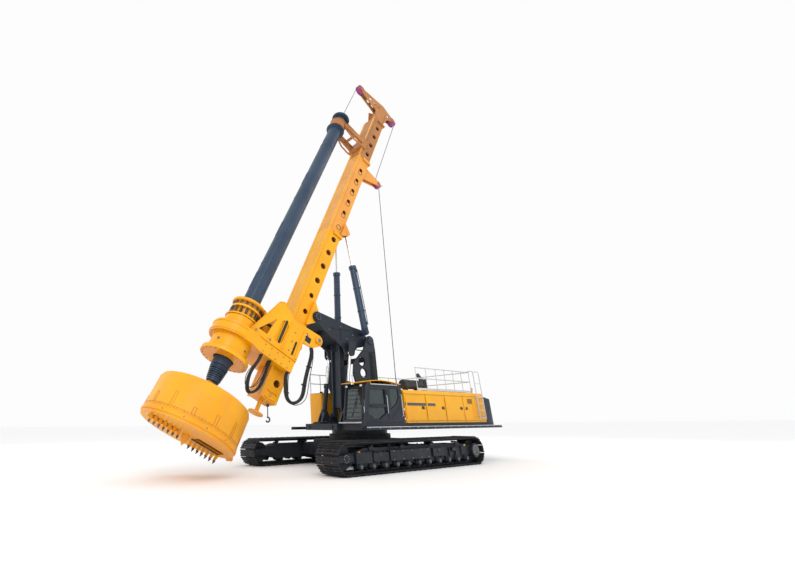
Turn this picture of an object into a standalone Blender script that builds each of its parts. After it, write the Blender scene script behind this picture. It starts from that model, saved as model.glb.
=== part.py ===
"""A rotary piling rig: crawler undercarriage, slewing upper with cab and engine house, luffing boom with a
tilting mast, and a rotary drive that turns a kelly bar with a drilling bucket. Metres, +Z up, front is -Y."""

import math

import bmesh
import bpy
from mathutils import Matrix, Vector

GAP = 0.0003  # between touching pieces
PLAY = 0.006  # round a door or lid
ROUND = 12  # sides of a pin, eye or boss

# Undercarriage
TRACK_X = 2.45
SHOE_WIDTH = 1.08
TRACK_LENGTH = 8.27
TRACK_HEIGHT = 1.05
BELT = 0.14
GROUSER = 0.035
SHOES = 60
FRAME_HALF = 0.35
WHEEL_Y = (TRACK_LENGTH - TRACK_HEIGHT) / 2
WHEEL_Z = TRACK_HEIGHT / 2
WHEEL_R = TRACK_HEIGHT / 2 - BELT
AXLE_R = 0.12
SLEW_Z = 1.20
SLEW_R = 1.15

# Upper deck and house
DECK_Z = 1.36
DECK_TOP = 1.60
DECK_X = 2.06
WALK_X = 2.26
HOUSE_X = 2.09
HOUSE_FRONT = 0.56
HOUSE_REAR = 6.28
ROOF_Z = 2.87
SKIN = 0.045
WELL_X = 1.10  # half the width of the winch well
WELL_REAR = 2.35
DOOR_LOW = 1.68
DOOR_HIGH = 2.70
LEFT_DOORS = ((0.62, 1.90), (1.94, 3.23), (3.27, 4.59))
LAST_DOOR = (4.63, 5.40)
RIGHT_DOORS = ((0.62, 2.55), (2.65, 4.59))
KNUCKLE_R = 0.014

# Cab
CAB_WALL = 0.05
CAB_FRONT = -1.84
CAB_REAR = 0.47
CAB_TOP = 3.06
CAB_LEAN = 0.28  # how far the windscreen's top stands behind its foot
SCREEN_Z = (1.74, 2.88)
GLASS = 0.008

# Boom parallelogram, as (y, z)
BOOM_TOP = (0.23, 5.00)
LINK = (0.15, 2.95)
LINK_TOP = (-0.95, 4.86)
LUFF_EYE = (-0.85, 4.45)
LUFF_BASE = (-1.35, 1.95)
PIN = 0.08
LINK_PIN = 0.07
LUFF_PIN = 0.06

# Mast, measured along it (s) and behind the kelly bar's axis (n)
LEAN = math.radians(27.3)
KELLY_FOOT = -8.632
MAST_HALF = 0.38
RAIL_HALF = MAST_HALF + 0.09
MAST_N = (1.80, 2.56)
RAIL_N = 1.72
MAST_S = (3.85, 12.60, 18.40, 22.20)
MAST_WALL = 0.03
PIVOT = (8.00, 2.80)
BRACE_EYE = (13.05, 2.78)
BRACE_X = (0.36, 0.87)  # of the eye and of the foot
BRACE_FOOT = (0.0, 5.38)
BRACE_BARREL = 3.20
BRACE_EYE_HALF = 0.08
HEAD_S = 23.75

# Rotary drive, kelly bar and bucket, along the mast's direction
TABLE_S = (5.05, 5.50)
TABLE_R = 0.95
TABLE_BORE = 0.60
CARRIAGE_TOP = 7.45
KELLY_R = 0.355
KEY_RISE = 0.028
SLEEVE_BORE = KELLY_R + KEY_RISE + 0.027
NECK_R = 0.30  # the kelly bar between its two flanges
HOSE_R = 0.045
FLANGE_S = (18.90, 19.95)
BUCKET_R = 1.70
BUCKET_S = (1.53, 2.90)
BUCKET_WALL = 0.05

# Plates side by side from the mast outwards, each with its limits in x
PLATE = 0.08
HEAD_X = (RAIL_HALF + 0.03, RAIL_HALF + 0.03 + PLATE)
LUFF_EYE_X = (HEAD_X[1] + 0.02, HEAD_X[1] + 0.16)
BOOM_X = (LUFF_EYE_X[1] + 0.06, LUFF_EYE_X[1] + 0.06 + PLATE)
SIDE_FRAME = (HEAD_X[1] + 0.11, HEAD_X[1] + 0.11 + PLATE)
CAB_X = (BOOM_X[1] + 0.08, 2.06)

YELLOW = (0.80, 0.36, 0.015, 1.0)
SLATE = (0.035, 0.050, 0.070, 1.0)
BLUE_SLATE = (0.055, 0.085, 0.125, 1.0)
GREY = (0.36, 0.38, 0.40, 1.0)
BLACK = (0.012, 0.013, 0.015, 1.0)
STEEL = (0.55, 0.56, 0.58, 1.0)
DARK_GLASS = (0.02, 0.03, 0.035, 1.0)

MAST_FRAME = Matrix.Translation((0, KELLY_FOOT, 0)) @ Matrix.Rotation(-LEAN, 4, "X")


def mast_point(s, n, x=0.0):
    """A place on the mast in the machine's frame."""
    return MAST_FRAME @ Vector((x, n, s))


# ---------------------------------------------------------------- shapes


def loose(name, mesh):
    piece = bpy.data.objects.new(name, mesh)
    workshop.objects.link(piece)
    return piece


def from_bmesh(bm):
    bmesh.ops.remove_doubles(bm, verts=bm.verts, dist=1e-5)
    bmesh.ops.recalc_face_normals(bm, faces=bm.faces)
    mesh = bpy.data.meshes.new("shape")
    bm.to_mesh(mesh)
    bm.free()
    return loose("shape", mesh)


def evaluated(piece):
    """The mesh that the piece's modifiers or its curve make, in place of the piece."""
    graph = bpy.context.evaluated_depsgraph_get()
    mesh = bpy.data.meshes.new_from_object(piece.evaluated_get(graph))
    mesh.transform(piece.matrix_world)
    bpy.data.objects.remove(piece)
    return mesh


def settled(piece):
    """A curve or a turned profile as one closed mesh."""
    bm = bmesh.new()
    bm.from_mesh(evaluated(piece))
    return from_bmesh(bm)


def box(x, y, z):
    """A block between the pairs of limits x, y and z."""
    middle = Vector([(a + b) / 2 for a, b in (x, y, z)])
    size = [b - a for a, b in (x, y, z)]
    bm = bmesh.new()
    bmesh.ops.create_cube(bm, size=1, matrix=Matrix.Translation(middle) @ Matrix.Diagonal((*size, 1)))
    return from_bmesh(bm)


def rod(start, end, radius, sides=8, tip=None):
    """A round bar, or a cone where tip is its far radius."""
    start = Vector(start)
    along = Vector(end) - start
    turn = along.to_track_quat("Z", "Y").to_matrix().to_4x4()
    bm = bmesh.new()
    bmesh.ops.create_cone(
        bm,
        cap_ends=True,
        segments=sides,
        radius1=radius,
        radius2=radius if tip is None else tip,
        depth=along.length,
        matrix=Matrix.Translation(start + along / 2) @ turn,
    )
    return from_bmesh(bm)


def circle(centre, radius, sides=ROUND):
    return [
        (
            centre[0] + radius * math.cos(math.tau * i / sides),
            centre[1] + radius * math.sin(math.tau * i / sides),
        )
        for i in range(sides)
    ]


def bore(centre, pin_r):
    """A hole whose flats clear the corners of a pin that turns in it."""
    return circle(centre, (pin_r + GAP) / math.cos(math.pi / ROUND))


def arc(centre, radius, start, end, steps):
    """Points on a circle from one angle to another, in degrees."""
    angles = [math.radians(start + (end - start) * i / steps) for i in range(steps + 1)]
    return [(centre[0] + radius * math.cos(a), centre[1] + radius * math.sin(a)) for a in angles]


def eased(corners, steps=3):
    """An outline whose corners (u, v, radius) are rounded; a corner without a radius stays sharp."""
    points = []
    for i, corner in enumerate(corners):
        here = Vector(corner[:2])
        if len(corner) < 3:
            points.append(tuple(here))
            continue
        before = (Vector(corners[i - 1][:2]) - here).normalized()
        after = (Vector(corners[(i + 1) % len(corners)][:2]) - here).normalized()
        half = before.angle(after) / 2
        reach = corner[2] / math.tan(half)
        centre = here + (before + after).normalized() * corner[2] / math.sin(half)
        first = here + before * reach - centre
        last = here + after * reach - centre
        for k in range(steps + 1):
            mixed = first.lerp(last, k / steps).normalized() * corner[2]
            points.append(tuple(centre + mixed))
    return points


def hull_of_circles(circles, steps=6):
    """The outline of a taut band round circles (u, v, radius) given in turning order."""
    points = []
    count = len(circles)
    for i, (u, v, radius) in enumerate(circles):
        normals = []
        for a, b in ((circles[i - 1], circles[i]), (circles[i], circles[(i + 1) % count])):
            step = Vector((b[0] - a[0], b[1] - a[1]))
            swing = math.asin((a[2] - b[2]) / step.length)
            normals.append(math.atan2(step.y, step.x) - math.pi / 2 + swing)
        start, end = normals
        while end < start - 1e-6:
            end += math.tau
        ticks = max(1, round(steps * (end - start) / math.pi))
        for k in range(ticks + 1):
            angle = start + (end - start) * k / ticks
            points.append((u + radius * math.cos(angle), v + radius * math.sin(angle)))
    return points


AXES = {
    "x": Matrix(((0, 0, 1, 0), (1, 0, 0, 0), (0, 1, 0, 0), (0, 0, 0, 1))),
    "y": Matrix(((1, 0, 0, 0), (0, 0, -1, 0), (0, 1, 0, 0), (0, 0, 0, 1))),
    "z": Matrix.Identity(4),
}


def plate(axis, limits, outline, holes=()):
    """A flat outline with holes, thick between its limits along the axis. Outlines are (y, z), (x, z) or (x, y)."""
    curve = bpy.data.curves.new("outline", "CURVE")
    curve.dimensions = "2D"
    curve.fill_mode = "BOTH"
    curve.extrude = (limits[1] - limits[0]) / 2
    for points in (outline, *holes):
        spline = curve.splines.new("POLY")
        spline.points.add(len(points) - 1)
        for point, (u, v) in zip(spline.points, points):
            point.co = (u, v, 0, 1)
        spline.use_cyclic_u = True
    piece = loose("outline", curve)
    offset = Vector([(limits[0] + limits[1]) / 2 if axis == letter else 0 for letter in "xyz"])
    piece.matrix_world = Matrix.Translation(offset) @ AXES[axis]
    bpy.context.view_layer.update()
    return settled(piece)


def turned(profile, sides=24):
    """A profile (radius, height), which runs down its outer side, turned about Z."""
    mesh = bpy.data.meshes.new("profile")
    points = [(radius, 0, height) for radius, height in profile]
    edges = [(i, i + 1) for i in range(len(points) - 1)]
    if min(profile[0][0], profile[-1][0]) > 0:
        edges.append((len(points) - 1, 0))
    mesh.from_pydata(points, edges, [])
    piece = loose("profile", mesh)
    screw = piece.modifiers.new("Turn", "SCREW")
    screw.steps = sides
    screw.render_steps = sides
    screw.use_merge_vertices = True
    screw.merge_threshold = 1e-5
    return settled(piece)


def combined(operation, first, others):
    for other in others:
        modifier = first.modifiers.new("Boolean", "BOOLEAN")
        modifier.operation = operation
        modifier.object = other
        first = loose("shape", evaluated(first))
        bpy.data.objects.remove(other)
    return first


def joined(*pieces):
    return combined("UNION", pieces[0], pieces[1:])


def cut(piece, *cutters):
    return combined("DIFFERENCE", piece, cutters)


def set_in(frame, piece):
    piece.data.transform(frame)
    return piece


def other_side(piece):
    """The piece moved to the right-hand side."""
    piece.data.transform(Matrix.Diagonal((-1, 1, 1, 1)))
    piece.data.flip_normals()
    return piece


def both_sides(piece):
    return piece, other_side(loose(piece.name, piece.data.copy()))


def on_side(side, piece):
    return piece if side > 0 else other_side(piece)


# ---------------------------------------------------------------- bodies, materials and naming


def new_body(name, pivot, parent=None):
    """An empty on the body's joint axis, which carries the body's pieces."""
    empty = bpy.data.objects.new(name, None)
    rig.objects.link(empty)
    empty["pivot"] = list(pivot)
    base = Vector((0, 0, 0))
    if parent is not None:
        empty.parent = parent
        base = Vector(parent["pivot"])
    empty.location = Vector(pivot) - base
    return empty


def material(name, colour, roughness, metallic):
    made = bpy.data.materials.new(name)
    made.use_nodes = True
    shader = made.node_tree.nodes["Principled BSDF"]
    shader.inputs["Base Color"].default_value = colour
    shader.inputs["Roughness"].default_value = roughness
    shader.inputs["Metallic"].default_value = metallic
    return made


def keep(name, piece, body, colour, roughness=0.45, metallic=0.0):
    """Makes the finished piece a named part of its body."""
    pivot = Vector(body["pivot"])
    piece.data.transform(Matrix.Translation(-pivot))
    piece.name = name
    piece.data.name = name
    piece.data.materials.clear()
    piece.data.materials.append(material(name, colour, roughness, metallic))
    piece.data.shade_smooth()
    piece.data.set_sharp_from_angle(angle=math.radians(35))
    piece.parent = body
    workshop.objects.unlink(piece)
    rig.objects.link(piece)
    return piece


# ---------------------------------------------------------------- undercarriage


def belt_point(travel, reach):
    """A place on the track loop: travel along the bottom, up the rear, back along the top, down the front."""
    straight = 2 * WHEEL_Y
    bend = math.pi * (WHEEL_Z - GROUSER)
    travel %= 2 * (straight + bend)
    if travel < straight:
        return -WHEEL_Y + travel, WHEEL_Z - reach
    if travel < straight + bend:
        angle = -math.pi / 2 + math.pi * (travel - straight) / bend
        return WHEEL_Y + reach * math.cos(angle), WHEEL_Z + reach * math.sin(angle)
    if travel < 2 * straight + bend:
        return WHEEL_Y - (travel - straight - bend), WHEEL_Z + reach
    angle = math.pi / 2 + math.pi * (travel - 2 * straight - bend) / bend
    return -WHEEL_Y + reach * math.cos(angle), WHEEL_Z + reach * math.sin(angle)


def track_loop(centre):
    around = 4 * WHEEL_Y + math.tau * (WHEEL_Z - GROUSER)
    pitch = around / SHOES
    shoe = ((0.03, WHEEL_Z - GROUSER), (0.10, WHEEL_Z), (0.86, WHEEL_Z), (0.93, WHEEL_Z - GROUSER))
    outline = [belt_point((i + along) * pitch, reach) for i in range(SHOES) for along, reach in shoe]
    inside = arc((WHEEL_Y, WHEEL_Z), WHEEL_R, -90, 90, 12) + arc((-WHEEL_Y, WHEEL_Z), WHEEL_R, 90, 270, 12)
    half = SHOE_WIDTH / 2
    return plate("x", (centre - half, centre + half), outline, [inside])


def track_wheel(y):
    """An idler or sprocket on its axle."""
    rim = plate("x", (TRACK_X - 0.20, TRACK_X + 0.20), circle((y, WHEEL_Z), WHEEL_R - 0.006, 16))
    reach = FRAME_HALF + 0.02
    axle = plate("x", (TRACK_X - reach, TRACK_X + reach), circle((y, WHEEL_Z), AXLE_R, 8))
    return joined(rim, axle)


def track_frame():
    """The beam inside a track, with its forks, rollers and the boxes on its outer side."""
    centre = TRACK_X
    low, high = 0.26, 0.82
    beam_end = WHEEL_Y - WHEEL_R - 0.10
    inner, outer = centre - FRAME_HALF, centre + FRAME_HALF
    beam_outline = [
        (-beam_end, 0.36),
        (-beam_end + 0.3, low),
        (beam_end - 0.3, low),
        (beam_end, 0.36),
        (beam_end, 0.72),
        (beam_end - 0.4, high),
        (-beam_end + 0.4, high),
        (-beam_end, 0.72),
    ]
    beam = plate("x", (inner, outer), beam_outline)
    fork_end = WHEEL_Y + 0.33
    fork_outline = [
        (-fork_end, 0.42),
        (-beam_end + 0.5, 0.34),
        (beam_end - 0.5, 0.34),
        (fork_end, 0.42),
        (fork_end, 0.63),
        (beam_end - 0.5, 0.74),
        (-beam_end + 0.5, 0.74),
        (-fork_end, 0.63),
    ]
    forks = [plate("x", (a, a + 0.07), fork_outline) for a in (inner - 0.005, outer - 0.065)]
    roller_r = 0.12
    roller_z = BELT + roller_r + GAP
    furthest = beam_end - 0.59
    roller_places = [furthest * share / 5 for share in (-5, -3, -1, 1, 3, 5)]
    rollers = [
        plate("x", (centre - 0.24, centre + 0.24), circle((y, roller_z), roller_r, 8))
        for y in roller_places
    ]
    top_z = TRACK_HEIGHT - BELT - 0.08 - GAP
    carriers = [plate("x", (centre - 0.18, centre + 0.18), circle((y, top_z), 0.08, 8)) for y in (-1.25, 1.25)]
    boxes = [
        box((outer - 0.02, outer + 0.05), (-WHEEL_Y - 0.32, -WHEEL_Y + 0.34), (0.43, 0.62)),
        box((outer - 0.02, outer + 0.10), (-WHEEL_Y + 0.41, -WHEEL_Y + 1.16), (0.36, 0.70)),
        box((outer - 0.02, outer + 0.12), (-2.40, -1.65), (0.40, 0.66)),
        box((outer - 0.02, outer + 0.14), (-1.58, 0.64), (0.38, 0.72)),
        box((outer - 0.02, outer + 0.10), (0.86, 1.54), (0.42, 0.70)),
    ]
    drive = plate("x", (outer + 0.0, outer + 0.13), circle((WHEEL_Y, WHEEL_Z), 0.27, 16))
    wheels = [track_wheel(y) for y in (-WHEEL_Y, WHEEL_Y)]
    return joined(beam, *forks, *wheels, *rollers, *carriers, *boxes, drive)


def carbody():
    inner = TRACK_X - FRAME_HALF - 0.005 - GAP
    corners = [(1.40, 1.55, 0.3), (-1.40, 1.55, 0.3), (-1.40, -1.55, 0.3), (1.40, -1.55, 0.3)]
    centre = plate("z", (0.42, 1.00), eased(corners))
    arms = [box((-inner, inner), (y - 0.38, y + 0.38), (0.38, 0.80)) for y in (-1.10, 1.10)]
    ring = turned([(SLEW_R + 0.12, SLEW_Z), (SLEW_R + 0.12, 0.95), (0.70, 0.95), (0.70, SLEW_Z)], 24)
    return joined(centre, *arms, ring)


def build_undercarriage(body):
    keep("carbody", carbody(), body, SLATE)
    for side, word in ((1, "left"), (-1, "right")):
        keep(f"track_frame_{word}", on_side(side, track_frame()), body, SLATE)
        keep(f"track_{word}", track_loop(side * TRACK_X), body, SLATE, 0.6, 0.4)


# ---------------------------------------------------------------- upper works


def stand(x, outline, boss_x, pin_x, centre, pin_r, boss_r):
    """A deck bracket: its plate, a boss that meets the moving eye, and the pin through that eye."""
    return (
        plate("x", x, outline),
        plate("x", boss_x, circle(centre, boss_r)),
        plate("x", pin_x, circle(centre, pin_r)),
    )


def lower_end(top):
    return top[0] - LINK[0], top[1] - LINK[1]


def turntable():
    nose, nose_x = -2.15, CAB_X[0] - 0.02
    outline = [
        (-DECK_X, -1.02),
        (-nose_x, -1.02),
        (-nose_x, nose),
        (nose_x, nose),
        (nose_x, -1.95),
        (DECK_X, -1.95),
        (DECK_X, HOUSE_REAR + 0.05),
        (-DECK_X, HOUSE_REAR + 0.05),
    ]
    deck = plate("z", (DECK_Z, DECK_TOP), outline)
    bearing = turned([(0, DECK_Z + 0.05), (SLEW_R, DECK_Z + 0.05), (SLEW_R, SLEW_Z + GAP), (0, SLEW_Z + GAP)], 24)
    root = DECK_TOP - 0.05
    boom = lower_end(BOOM_TOP)
    boom_foot = hull_of_circles([(boom[0] - 0.45, root + 0.02, 0.02), (boom[0] + 0.45, root + 0.02, 0.02), (*boom, 0.2)])
    link = lower_end(LINK_TOP)
    link_foot = hull_of_circles([(link[0] - 0.3, root + 0.02, 0.02), (link[0] + 0.3, root + 0.02, 0.02), (*link, 0.13)])
    luff_foot = hull_of_circles(
        [(LUFF_BASE[0] - 0.3, root + 0.02, 0.02), (LUFF_BASE[0] + 0.3, root + 0.02, 0.02), (*LUFF_BASE, 0.13)]
    )
    one_side = [
        *stand(
            (BOOM_X[0] - 0.10, BOOM_X[0] - 0.015),
            boom_foot,
            (BOOM_X[0] - 0.02, BOOM_X[0] - GAP),
            (BOOM_X[0] - 0.01, BOOM_X[1] + 0.02),
            boom,
            PIN,
            PIN + 0.07,
        ),
        *stand((0.33, 0.40), link_foot, (0.28 + GAP, 0.34), (0.18, 0.30), link, LINK_PIN, LINK_PIN + 0.04),
        plate("x", (LUFF_EYE_X[0] - 0.10, LUFF_EYE_X[0] - GAP), luff_foot),
        plate("x", (LUFF_EYE_X[1] + GAP, BOOM_X[0] - 0.01), luff_foot),
        plate("x", (LUFF_EYE_X[0] - 0.05, BOOM_X[0] - 0.02), circle(LUFF_BASE, LUFF_PIN)),
    ]
    winch_plate = [
        (0.66, root),
        (2.22, root),
        (2.22, 2.35, 0.1),
        (1.95, 2.55, 0.1),
        (0.85, 2.50, 0.1),
        (0.66, 2.20, 0.1),
    ]
    sockets = [bore(centre, WINCH_AXLE_R) for centre, _core, _flange in WINCHES]
    one_side.append(plate("x", (WINCH_HALF + GAP, WINCH_HALF + 0.07), eased(winch_plate), sockets))
    tread = box((DECK_X + GAP, WALK_X), (-1.90, 7.20), (DECK_Z + 0.01, DECK_Z + 0.05))
    kerb = box((WALK_X - 0.04, WALK_X), (-1.90, 7.20), (DECK_Z, DECK_Z + 0.11))
    root = box((DECK_X - 0.02, DECK_X + 0.02), (-1.90, HOUSE_REAR), (DECK_Z + 0.01, DECK_Z + 0.05))
    one_side += [tread, kerb, root]
    both = [shape for piece in one_side for shape in both_sides(piece)]
    return joined(deck, bearing, *both)


WINCH_HALF = 0.78
WINCH_AXLE_R = 0.08
WINCHES = (((1.08, 2.16), 0.27, 0.40), ((1.85, 2.20), 0.20, 0.31))


def winch_drum(centre, core, flange):
    """A drum with its flanges and the stub axles at its ends."""
    drum = plate("x", (-WINCH_HALF + 0.02, WINCH_HALF - 0.02), circle(centre, core, 20))
    rims = [plate("x", (a, a + 0.05), circle(centre, flange, 20)) for a in (-WINCH_HALF, WINCH_HALF - 0.05)]
    reach = WINCH_HALF + 0.06
    axle = plate("x", (-reach, reach), circle(centre, WINCH_AXLE_R))
    return joined(drum, *rims, axle)


def house_shell():
    """The engine house: roof, walls and the two arms beside the winch well, open below, with door openings."""
    rear = HOUSE_REAR
    outline = [
        (-HOUSE_X, HOUSE_FRONT),
        (-WELL_X, HOUSE_FRONT),
        (-WELL_X, WELL_REAR),
        (WELL_X, WELL_REAR),
        (WELL_X, HOUSE_FRONT),
        (HOUSE_X, HOUSE_FRONT),
        (HOUSE_X, rear),
        (-HOUSE_X, rear),
    ]
    t = SKIN
    inside = [
        (-HOUSE_X + t, HOUSE_FRONT + t),
        (-WELL_X - t, HOUSE_FRONT + t),
        (-WELL_X - t, WELL_REAR + t),
        (WELL_X + t, WELL_REAR + t),
        (WELL_X + t, HOUSE_FRONT + t),
        (HOUSE_X - t, HOUSE_FRONT + t),
        (HOUSE_X - t, rear - t),
        (-HOUSE_X + t, rear - t),
    ]
    shell = plate("z", (DECK_TOP + GAP, ROOF_Z), outline)
    hollow = plate("z", (DECK_TOP - 0.1, ROOF_Z - t), inside)
    raised = [(3.20, ROOF_Z - 0.03), (3.45, ROOF_Z + 0.13), (5.15, ROOF_Z + 0.13), (5.45, ROOF_Z - 0.03)]
    hood = plate("x", (-1.80, 1.80), raised)
    doorways = [
        box((HOUSE_X - 0.2, HOUSE_X + 0.1), (a, b), (DOOR_LOW, DOOR_HIGH)) for a, b in (*LEFT_DOORS, LAST_DOOR)
    ]
    doorways += [box((-HOUSE_X - 0.1, -HOUSE_X + 0.2), (a, b), (DOOR_LOW, DOOR_HIGH)) for a, b in RIGHT_DOORS]
    chamfers = [
        plate("y", (HOUSE_FRONT - 0.1, rear + 0.1), [(x, ROOF_Z + 0.2), (x, ROOF_Z - 0.11), (x - turn, ROOF_Z + 0.2)])
        for x, turn in ((HOUSE_X + 0.001, 0.13), (-HOUSE_X - 0.001, -0.13))
    ]
    return cut(joined(cut(shell, hollow), hood), *doorways, *chamfers)


def house_door(limits, hinge_at_front=True):
    """A steel door flush with the skin, hung on a long knuckle just outside it. Built on the left."""
    a, b = limits
    panel = box((HOUSE_X - SKIN, HOUSE_X), (a + PLAY, b - PLAY), (DOOR_LOW + PLAY, DOOR_HIGH - PLAY))
    axis_y = hinge_line(limits, hinge_at_front)
    axis_x = HOUSE_X + KNUCKLE_R + GAP
    inward = 1 if hinge_at_front else -1
    heights = (DOOR_LOW + 0.08, DOOR_HIGH - 0.08)
    knuckle = rod((axis_x, axis_y, heights[0]), (axis_x, axis_y, heights[1]), KNUCKLE_R)
    ends = sorted((axis_y, axis_y + inward * 0.07))
    leaf = box((HOUSE_X - 0.01, HOUSE_X + KNUCKLE_R), ends, heights)
    clear = box((HOUSE_X - 0.1, HOUSE_X + GAP), sorted((axis_y - inward * 0.05, axis_y + inward * PLAY)), (0, 4))
    handle_y = b - 0.12 if hinge_at_front else a + 0.12
    handle = box((HOUSE_X - 0.01, HOUSE_X + 0.02), (handle_y - 0.06, handle_y + 0.06), (2.16, 2.23))
    return joined(panel, cut(joined(leaf, knuckle), clear), handle)


def hinge_line(limits, hinge_at_front):
    return limits[0] if hinge_at_front else limits[1]


def counterweight():
    """The tail weight, with rounded rear corners and a top that falls away to the rear."""
    rear = 7.25
    side = [(HOUSE_REAR + 0.06, DECK_Z), (rear, DECK_Z), (rear, 1.55), (6.95, 2.62, 0.12), (HOUSE_REAR + 0.06, 2.74)]
    block = plate("x", (-DECK_X, DECK_X), eased(side))
    corners = [
        plate("z", (1, 3), [(x, rear + 0.3), (x, 6.70), (x - turn * 0.18, 7.08), (x - turn * 0.62, rear + 0.3)])
        for x, turn in ((2.20, 1.6), (-2.20, -1.6))
    ]
    return cut(block, *corners)


def side_box():
    """The tank and tool box on the right, ahead of the house."""
    outline = [(-2.06, -0.96, 0.08), (-1.22, -0.96, 0.08), (-1.22, 0.45), (-2.06, 0.45)]
    return plate("z", (DECK_TOP + GAP, 2.88), eased(outline))


def handrails():
    """Posts and two rails round the roof: along both edges and across behind the raised hood."""
    x = 1.90
    foot, top = ROOF_Z + GAP, 3.86
    places = (1.75, 2.45, 3.15, 3.80, 4.45, 5.10, 5.75)
    posts = [rod((x, y, foot), (x, y, top), 0.020, 4) for y in places]
    rails = [rod((x, places[0] - 0.03, z), (x, places[-1] + 0.03, z), 0.024, 4) for z in (3.40, top - 0.01)]
    across = [rod((-x, places[-1], z), (x, places[-1], z), 0.022, 4) for z in (3.40, top - 0.01)]
    sides = [shape for piece in (*posts, *rails) for shape in both_sides(piece)]
    return joined(*across, *sides)


def ladder():
    """The rear ladder on the left: two stiles, rungs and stand-off feet against the house."""
    x = 2.22
    ends = (5.60, 6.06)
    stiles = [rod((x, y, 1.72), (x, y, 3.78), 0.022, 6) for y in ends]
    rungs = [rod((x, ends[0], z), (x, ends[1], z), 0.016, 6) for z in (1.80, 2.10, 2.40, 2.70)]
    top_rung = [rod((x, ends[0], 3.30), (x, ends[1], 3.30), 0.016, 6)]
    feet = [rod((HOUSE_X + GAP, y, z), (x, y, z), 0.018, 6) for y in ends for z in (1.86, 2.64)]
    return joined(*stiles, *rungs, *top_rung, *feet)


def exhaust():
    """The silencer that lies on the left arm of the roof, with its legs and an upright outlet."""
    x, z = 1.60, 3.14
    shell = rod((x, 1.15, z), (x, 2.25, z), 0.19, 16)
    neck = rod((x, 2.20, z), (x, 2.52, z), 0.10, 12)
    stack = rod((x, 2.45, z - 0.05), (x, 2.45, 3.46), 0.09, 12)
    mouth = rod((x, 2.45, 3.40), (x, 2.25, 3.60), 0.085, 12)
    legs = [box((x - 0.12, x + 0.12), (y, y + 0.05), (ROOF_Z + GAP, z)) for y in (1.30, 2.05)]
    return joined(shell, neck, stack, mouth, *legs)


def engine():
    return box((-0.75, 0.75), (3.1, 5.2), (DECK_TOP + GAP, 2.45))


# ---------------------------------------------------------------- cab


def cab_outline(inset=0.0):
    low = DECK_TOP + GAP + inset
    return [
        (CAB_FRONT + inset, low),
        (CAB_REAR - inset, low),
        (CAB_REAR - inset, CAB_TOP - inset, 0.2),
        (CAB_FRONT + CAB_LEAN + inset, CAB_TOP - inset, 0.16),
    ]


def screen_y(z):
    """The windscreen's outer face at a height."""
    return CAB_FRONT + CAB_LEAN * (z - DECK_TOP) / (CAB_TOP - DECK_TOP)


DOOR = ((-1.66, 1.68), (-0.40, 1.68), (-0.40, 2.94), (-1.43, 2.94))
DOOR_UPPER = ((-1.47, 2.28), (-0.52, 2.28), (-0.52, 2.85), (-1.37, 2.85))
DOOR_LOWER = ((-1.57, 1.92), (-1.42, 1.88), (-1.28, 1.75), (-0.90, 1.75), (-0.52, 1.96), (-0.52, 2.18), (-1.52, 2.18))
QUARTER = ((-0.26, 2.08), (0.10, 2.32), (0.27, 2.56), (0.25, 2.90), (-0.26, 2.90))
FAR_SIDE = ((-1.45, 2.00), (0.20, 2.00), (0.20, 2.88), (-1.30, 2.88))
REAR_PANE = ((1.16, 2.10), (1.86, 2.10), (1.86, 2.86), (1.16, 2.86))


def shrunk(outline, inset):
    """A convex or nearly convex outline, drawn anticlockwise, moved inwards by the inset."""
    points = []
    count = len(outline)
    for i in range(count):
        a, b, c = (Vector(outline[k % count]) for k in (i - 1, i, i + 1))
        first = (b - a).normalized()
        second = (c - b).normalized()
        normal_a = Vector((-first.y, first.x))
        normal_b = Vector((-second.y, second.x))
        points.append(tuple(b + (normal_a + normal_b) * inset / (1 + normal_a.dot(normal_b))))
    return points


def cab_shell():
    low_x, high_x = CAB_X
    outer = plate("x", CAB_X, eased(cab_outline(), 4))
    room = plate("x", (low_x + CAB_WALL, high_x - CAB_WALL), eased(cab_outline(CAB_WALL), 4))
    openings = [
        plate("x", (high_x - 0.2, high_x + 0.1), DOOR),
        plate("x", (high_x - 0.2, high_x + 0.1), QUARTER),
        plate("x", (low_x - 0.1, low_x + 0.2), FAR_SIDE),
        plate("y", (CAB_REAR - 0.2, CAB_REAR + 0.1), REAR_PANE),
        box((low_x + 0.09, high_x - 0.09), (CAB_FRONT - 0.2, CAB_FRONT + 0.36), SCREEN_Z),
    ]
    return cut(outer, room, *openings)


def cab_door():
    x = CAB_X[1]
    panel = plate("x", (x - CAB_WALL, x), shrunk(DOOR, PLAY), [DOOR_UPPER, DOOR_LOWER])
    axis_x, axis_y = x + KNUCKLE_R + GAP, DOOR[1][0]
    heights = (1.80, 2.84)
    knuckle = rod((axis_x, axis_y, heights[0]), (axis_x, axis_y, heights[1]), KNUCKLE_R)
    leaf = box((x - 0.01, x + KNUCKLE_R), (axis_y - 0.07, axis_y), heights)
    clear = box((x - 0.1, x + GAP), (axis_y - PLAY, axis_y + 0.05), (0, 4))
    handle = box((x - 0.01, x + 0.03), (-1.40, -1.22), (2.21, 2.25))
    return joined(panel, cut(joined(leaf, knuckle), clear), handle)


def pane(x, outline):
    return plate("x", (x, x + GLASS), shrunk(outline, GAP))


def door_glass():
    """One pane behind both of the door's windows."""
    x = CAB_X[1] - CAB_WALL - GAP
    return plate("x", (x - GLASS, x), shrunk(DOOR, 0.04))


def windscreen():
    low, high = SCREEN_Z[0] + GAP, SCREEN_Z[1] - GAP
    near, far = 0.02, 0.02 + GLASS
    section = [
        (screen_y(low) + near, low),
        (screen_y(low) + far, low),
        (screen_y(high) + far, high),
        (screen_y(high) + near, high),
    ]
    return plate("x", (CAB_X[0] + 0.09 + GAP, CAB_X[1] - 0.09 - GAP), section)


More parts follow.
